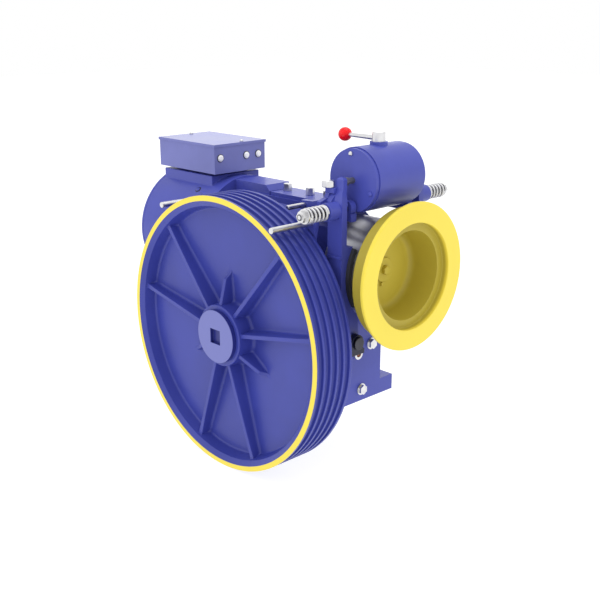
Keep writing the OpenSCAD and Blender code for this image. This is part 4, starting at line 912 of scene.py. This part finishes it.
class MACHINE_OT_flywheel(Maker, bpy.types.Operator):
    """Make the dished flywheel and its bolts"""

    bl_idname = "machine.flywheel"
    bl_label = "Flywheel"

    def make(self, settings):
        s = settings.flywheel
        face = high("flywheel")[X]
        seat = low("flywheel")[X]
        outer = high("flywheel")[Y]
        back = face - s.body_depth
        ledge = face - s.ledge_depth
        floor = seat + s.floor_thickness
        shoulder = high("brake_drum")[X] + 4 * MM
        wall = s.cup_radius + 8 * MM
        nose = s.floor_radius + 3 * MM
        rim = face - s.rim_thickness
        body = outer - 14 * MM
        rows = [
            (WORM_BORE, seat, 0.3 * MM), (nose, seat, 3 * MM), (nose, shoulder, 2 * MM),
            (wall, shoulder, 5 * MM), (wall, back, 3 * MM), (body, back, 4 * MM),
            (body + 1 * MM, rim, 2 * MM), (outer, rim, 2 * MM), (outer, face, 2.5 * MM),
            (s.ring_inner, face, 2 * MM), (s.ring_inner - 1 * MM, ledge, 2 * MM),
            (s.cup_radius, ledge, 1.2 * MM), (s.floor_radius, floor, 14 * MM),
            (WORM_BORE, floor, 0.5 * MM),
        ]
        shell = laid(turned(rounded(rows, steps=5), 160), "+X", (0, 0, WORM_Z))
        add("flywheel_dish", shell, "yellow_paint", "worm", ["flywheel"])
        end = high("flywheel_fasteners")[X]
        seat_r = high("flywheel_fasteners")[Y]
        thick = 4 * MM
        washer = turned_solid([(seat_r, 0, 0.4 * MM), (seat_r, thick, 1 * MM)], 64)
        bolt = hexagon(17 * MM, end - floor - thick)
        screw = hexagon(8 * MM, 4 * MM, (6 * MM, 1 * MM))
        screw_place = (floor, -5 * MM, WORM_Z - 29 * MM)
        shells = [
            laid(washer, "+X", (floor, 0, WORM_Z)), laid(bolt, "+X", (floor + thick, 0, WORM_Z)),
            laid(screw, "+X", screw_place),
        ]
        add("flywheel_bolt", join(shells), "yellow_paint", "worm", ["flywheel_fasteners"])


class MACHINE_OT_brake_drum(Maker, bpy.types.Operator):
    """Make the turned brake drum"""

    bl_idname = "machine.brake_drum"
    bl_label = "Brake drum"

    def make(self, settings):
        near, far = low("brake_drum")[X], high("brake_drum")[X]
        r = high("brake_drum")[Y]
        seat = low("flywheel")[X]
        web = (seat - 28 * MM, seat - 14 * MM)
        inner = r - 12 * MM
        rows = [
            (WORM_BORE, near + 4 * MM, 0.5 * MM), (36 * MM, near + 4 * MM, 1 * MM),
            (36 * MM, web[0] - 8 * MM, 6 * MM), (44 * MM, web[0], 4 * MM),
            (inner - 6 * MM, web[0], 5 * MM), (inner, web[0] - 6 * MM, 3 * MM),
            (inner, near, 0.8 * MM), (r, near, 1 * MM),
            (r, far, 1 * MM), (inner, far, 0.8 * MM), (inner, web[1] + 4 * MM, 3 * MM),
            (inner - 4 * MM, web[1], 2 * MM), (62 * MM, web[1], 2 * MM),
            (60 * MM, seat - 0.1 * MM, 0.5 * MM), (WORM_BORE, seat - 0.1 * MM, 0.3 * MM),
        ]
        shell = laid(turned(rounded(rows), 144), "+X", (0, 0, WORM_Z))
        add("brake_drum_turned", shell, "drum_iron", "worm", ["brake_drum"])


class MACHINE_OT_castings(Maker, bpy.types.Operator):
    """Round the edges of the castings and covers"""

    bl_idname = "machine.castings"
    bl_label = "Castings"

    def make(self, settings):
        for name, node, width in (
            ("gearbox_casting", "gearbox_housing", 2.5),
            ("inspection_plate", "inspection_cover", 1.0),
            ("front_cap_casting", "front_bearing_cap", 1.2),
            ("rear_cap_casting", "rear_bearing_cover", 1.2),
            ("worm_cap_casting", "worm_end_cap", 1.0),
            ("motor_casting", "motor_frame", 1.5),
            ("end_shield_casting", "motor_end_shield", 1.5),
            ("magnet_saddle", "magnet_bracket", 1.5),
            ("magnet_shell", "magnet_body", 1.0),
            ("magnet_covers", "magnet_caps", 1.2),
            ("guard_plates", "guard_brackets", 1.2),
        ):
            softened(name, node, width, "blue_paint", "frame")
        softened("adapter_casting", "motor_adapter", 1.0, "blue_paint", "frame", flat=0.02)
        # The arm forks are near-black as painted shade below the arms.
        softened("arm_forks", "arm_brackets", 1.5, "near_black_painted_shade", "frame", "blue_paint")
        for side in ("front", "rear"):
            softened(f"{side}_arm_casting", f"brake_arm_{side}", 2.0, "blue_paint", f"{side}_arm")


class MACHINE_OT_terminal_box(Maker, bpy.types.Operator):
    """Make the terminal box of folded sheet, its lid and its plugs"""

    bl_idname = "machine.terminal_box"
    bl_label = "Terminal box"

    def make(self, settings):
        # The box and lid take the pale blue: painted light on the blue sheet.
        softened("box_sheet", "terminal_box", 1.2, "pale_blue_paint", "frame", "blue_paint")
        softened("lid_sheet", "terminal_box_lid", 1.0, "pale_blue_paint", "frame", "blue_paint")
        caps, rings = [], []
        for axis, place, radius, height, _ in heads("cable_entry_plugs"):
            # Painted shadow: a black ring round each plug for the shaded gap.
            ring = turned_solid([(radius, 0, 0.3 * MM), (radius, 1.2 * MM, 0.6 * MM)], 48)
            rings.append(laid(ring, axis, place))
            caps.append(laid(dome(0.84 * radius, height), axis, place))
        add("plug_caps", join(caps), "white_plastic", "frame", ["cable_entry_plugs"])
        add("plug_shadow_rings", join(rings), "black_plastic", "frame")


class MACHINE_OT_motor_plug(Maker, bpy.types.Operator):
    """Screw the plug into the motor's flank: a near-black ring, painted shadow of the gap, round a
    flush blue head
    """

    bl_idname = "machine.motor_plug"
    bl_label = "Motor plug"

    def make(self, settings):
        radius = high("motor_frame")[Y]
        lean = math.radians(38)
        out = np.array([0, -math.sin(lean), math.cos(lean)])
        seat = np.array([high("motor_frame")[X] - 59 * MM, 0, WORM_Z]) + out * radius
        for name, finish_name, outer, rise in (
            # The ring is painted shadow round the head.
            ("motor_plug_shadow_ring", "near_black_painted_shade", 7.5 * MM, 0.8 * MM),
            ("motor_plug_head", "blue_paint", 5.2 * MM, 1.8 * MM),
        ):
            path = [seat - out * 1 * MM, seat + out * (rise - 0.6 * MM), seat + out * rise]
            shell = tube(path, (outer, outer, outer - 0.8 * MM), 40)
            add(name, shell, finish_name, "frame", slot="blue_paint")


class MACHINE_OT_springs(Maker, bpy.types.Operator):
    """Wind the two brake springs"""

    bl_idname = "machine.springs"
    bl_label = "Springs"

    def make(self, settings):
        s = settings.brake
        closed = 0.9  # of a turn that lies flat at each end
        for side, sign in (("front", -1), ("rear", 1)):
            node = f"brake_spring_{side}"
            start, end = sorted((low(node)[Y], high(node)[Y]), key=abs)
            total = abs(end - start)
            wire = s.wire_radius
            coil = high(node)[X] - BRAKE_X - wire
            turn = np.linspace(0, s.spring_turns, s.spring_turns * 40 + 1)
            share = np.clip((turn - closed) / (s.spring_turns - 2 * closed), 0, 1)
            low_end = np.clip(turn / closed, 0, 1)
            high_end = np.clip((turn - s.spring_turns + closed) / closed, 0, 1)
            rise = wire + wire * low_end + (total - 4 * wire) * share + wire * high_end
            angle = 2 * math.pi * turn
            path = np.stack([
                BRAKE_X + coil * np.cos(angle), start + sign * rise, SPRING_Z + coil * np.sin(angle)
            ], 1)
            coil_piece = add(
                f"coil_{side}", tube(path, wire * 0.97, 14), "spring_wire", "frame", [node],
                "zinc_steel",
            )
            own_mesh(coil_piece)


class MACHINE_OT_fasteners(Maker, bpy.types.Operator):
    """Make the bolts, nuts and screws with chamfered and crowned heads"""

    bl_idname = "machine.fasteners"
    bl_label = "Fasteners"

    def make(self, settings):
        hex_heads("deck_hex_bolts", "deck_bolts")
        hex_heads("cap_hex_bolts", "bearing_cap_bolts", washer=1.2 * MM)
        hex_heads("adapter_hex_bolts", "adapter_bolts", washer=1.2 * MM)
        hex_heads("guard_hex_nuts", "guard_nuts", "+Y")
        buttons("lid_buttons", heads("lid_screws"), "zinc_steel", ["lid_screws"])
        screws = heads("magnet_cap_screws", "-Y")
        halfway = MAGNET_Z + 20 * MM
        upper = [screw for screw in screws if screw[1][Z] > halfway]
        lower = [screw for screw in screws if screw[1][Z] <= halfway]
        buttons("upper_cap_buttons", upper, "zinc_steel", ["magnet_cap_screws"])
        buttons("painted_cap_buttons", lower, "blue_paint")
        softened("rods_bevelled", "guard_rods", 1.2, "zinc_steel", "frame")
        softened("tie_nuts_bevelled", "tie_rod_nuts", 0.6, "zinc_steel", "frame")
        # The tie rods are dark as painted shade inside the springs.
        softened("tie_rods_painted_shade", "tie_rods", 1.0, "oiled_steel_and_painted_shade", "frame", "zinc_steel")
        rod, nuts = high("tie_rods"), high("tie_rod_nuts")
        tip = dome(rod[X] - BRAKE_X + 0.3 * MM, rod[Y] - nuts[Y] + 0.3 * MM)
        tips = [
            laid(tip, axis, (BRAKE_X, sign * nuts[Y], SPRING_Z))
            for axis, sign in (("+Y", 1), ("-Y", -1))
        ]
        add("tie_rod_tips", join(tips), "zinc_steel", "frame")
        softened("pivot_pins", "arm_pivot_pins", 1.0, "oiled_steel_and_painted_shade", "frame", "zinc_steel")
        face = high("brake_lining_rear")[Y]
        nut = hexagon(23.4 * MM, 13 * MM)
        for side, sign in (("front", -1), ("rear", 1)):
            softened(f"{side}_push_rod", f"plunger_{side}", 0.7, "core_iron", f"{side}_plunger")
            place = (
                low(f"brake_arm_{side}")[X] + 12 * MM, sign * (face + 5 * MM), MAGNET_Z - 11 * MM
            )
            add(
                f"{side}_stop_nut", laid(nut, "+Z", place, math.pi / 6), "zinc_steel", f"{side}_arm"
            )


class MACHINE_OT_lever(Maker, bpy.types.Operator):
    """Make the release lever and its ball"""

    bl_idname = "machine.lever"
    bl_label = "Release lever"

    def make(self, settings):
        lowest, highest = low("lever_ball"), high("lever_ball")
        rod_z = (lowest + highest)[Z] / 2
        foot = low("release_lever")[Z]
        top = high("release_lever")[Z]
        rod = settings.brake.lever_rod
        hub = turned_solid([(13.2 * MM, 0, 0.8 * MM), (13.2 * MM, 20 * MM, 1.6 * MM)], 64)
        spindle = turned_solid(
            [(SPINDLE_R, 0, 1 * MM), (SPINDLE_R, top - foot - 10 * MM, 0.2 * MM)], 48
        )
        ends = np.array([[BRAKE_X - 8 * MM, 0, rod_z], [highest[X] - 10 * MM, 0, rod_z]])
        shells = [
            laid(hub, "+Z", (BRAKE_X, 0, top - 20 * MM)), laid(spindle, "+Z", (BRAKE_X, 0, foot)),
            tube(ends, (1.3 * rod, rod), 32),
        ]
        add("lever_turned", join(shells), "zinc_steel", "lever", ["release_lever"])
        sphere = ball((highest - lowest)[Z] / 2, (lowest + highest) / 2)
        add("ball", sphere, "red_plastic", "lever", ["lever_ball"])


class MACHINE_OT_stage(Maker, bpy.types.Operator):
    """Lay the floor, hang the lights and place the camera"""

    bl_idname = "machine.stage"
    bl_label = "Stage"

    def make(self, settings):
        s = settings.stage
        scene = bpy.context.scene
        scene.view_settings.view_transform = "Standard"
        scene.view_settings.look = "None"
        corners = 12.0 * np.array([[-1, -1], [1, -1], [1, 1], [-1, 1]])
        floor_points = np.column_stack([corners, np.full(4, FLOOR_Z - 0.5 * MM)])
        mesh = bpy.data.meshes.new("floor")
        mesh.from_pydata(floor_points.tolist(), [], [[0, 1, 2, 3]])
        f = Finish("floor", Roughness=0.9, Emission_Color=(1, 1, 1, 1), Emission_Strength=0.85)
        cloud = f.noise(2.0, 2)
        base = tuple(s.floor)
        mesh.materials.append(f.set(Base_Color=f.mix(cloud, tint(base, 0.995), base)))
        floor = bpy.data.objects.new("floor", mesh)
        scene.collection.objects.link(floor)
        world = bpy.data.worlds.new("white surroundings")
        world.use_nodes = True
        world.node_tree.nodes["Background"].inputs["Color"].default_value = (1, 1, 1, 1)
        world.node_tree.nodes["Background"].inputs["Strength"].default_value = s.sky
        scene.world = world
        target = np.array([0.0, -0.05, 0.2])
        for name, place, size, watts in (
            ("key", (-0.9, -2.6, 1.9), 2.4, s.key), ("top", (0.3, 0.2, 3.0), 2.6, s.top),
            ("back", (-2.6, 2.6, 1.55), 2.4, s.back),
        ):
            light = bpy.data.lights.new(name, "AREA")
            light.shape = "DISK"
            light.size = size
            light.energy = watts
            lamp = bpy.data.objects.new(name, light)
            scene.collection.objects.link(lamp)
            lamp.matrix_world = looking(np.array(place), target)
        camera = bpy.data.cameras.new("camera")
        camera.sensor_width = CAMERA_SENSOR
        camera.lens = CAMERA_LENS
        camera.clip_end = 60
        view = bpy.data.objects.new("camera", camera)
        scene.collection.objects.link(view)
        view.location = CAMERA_PLACE
        view.rotation_euler = (math.pi / 2 - CAMERA_PITCH, 0, CAMERA_YAW)
        scene.camera = view


def looking(place, target):
    """The matrix of a lamp at a place whose -Z points at the target."""
    direction = Vector(target - place)
    turn = direction.to_track_quat("-Z", "Y").to_matrix().to_4x4()
    return Matrix.Translation(Vector(place)) @ turn


STEPS = (
    MACHINE_OT_stage, MACHINE_OT_finishes, MACHINE_OT_sheave, MACHINE_OT_flywheel,
    MACHINE_OT_brake_drum, MACHINE_OT_castings, MACHINE_OT_terminal_box, MACHINE_OT_motor_plug,
    MACHINE_OT_springs, MACHINE_OT_fasteners, MACHINE_OT_lever,
)


class MACHINE_PT_panel(bpy.types.Panel):
    """Lists the pieces that can be made"""

    bl_idname = "MACHINE_PT_panel"
    bl_label = "Traction machine"
    bl_space_type = "VIEW_3D"
    bl_region_type = "UI"
    bl_category = "Machine"

    def draw(self, context):
        for step in STEPS:
            self.layout.operator(step.bl_idname)


CLASSES = (
    SheaveSettings, FlywheelSettings, BrakeSettings, FinishSettings, StageSettings, MachineSettings,
    *STEPS, MACHINE_PT_panel,
)


def register():
    for cls in CLASSES:
        bpy.utils.register_class(cls)
    bpy.types.Scene.traction_machine = PointerProperty(type=MachineSettings)


def unregister():
    del bpy.types.Scene.traction_machine
    for cls in reversed(CLASSES):
        bpy.utils.unregister_class(cls)


def main():
    register()
    for step in STEPS:
        group, name = step.bl_idname.split(".")
        getattr(getattr(bpy.ops, group), name)()


if __name__ == "__main__":
    main()
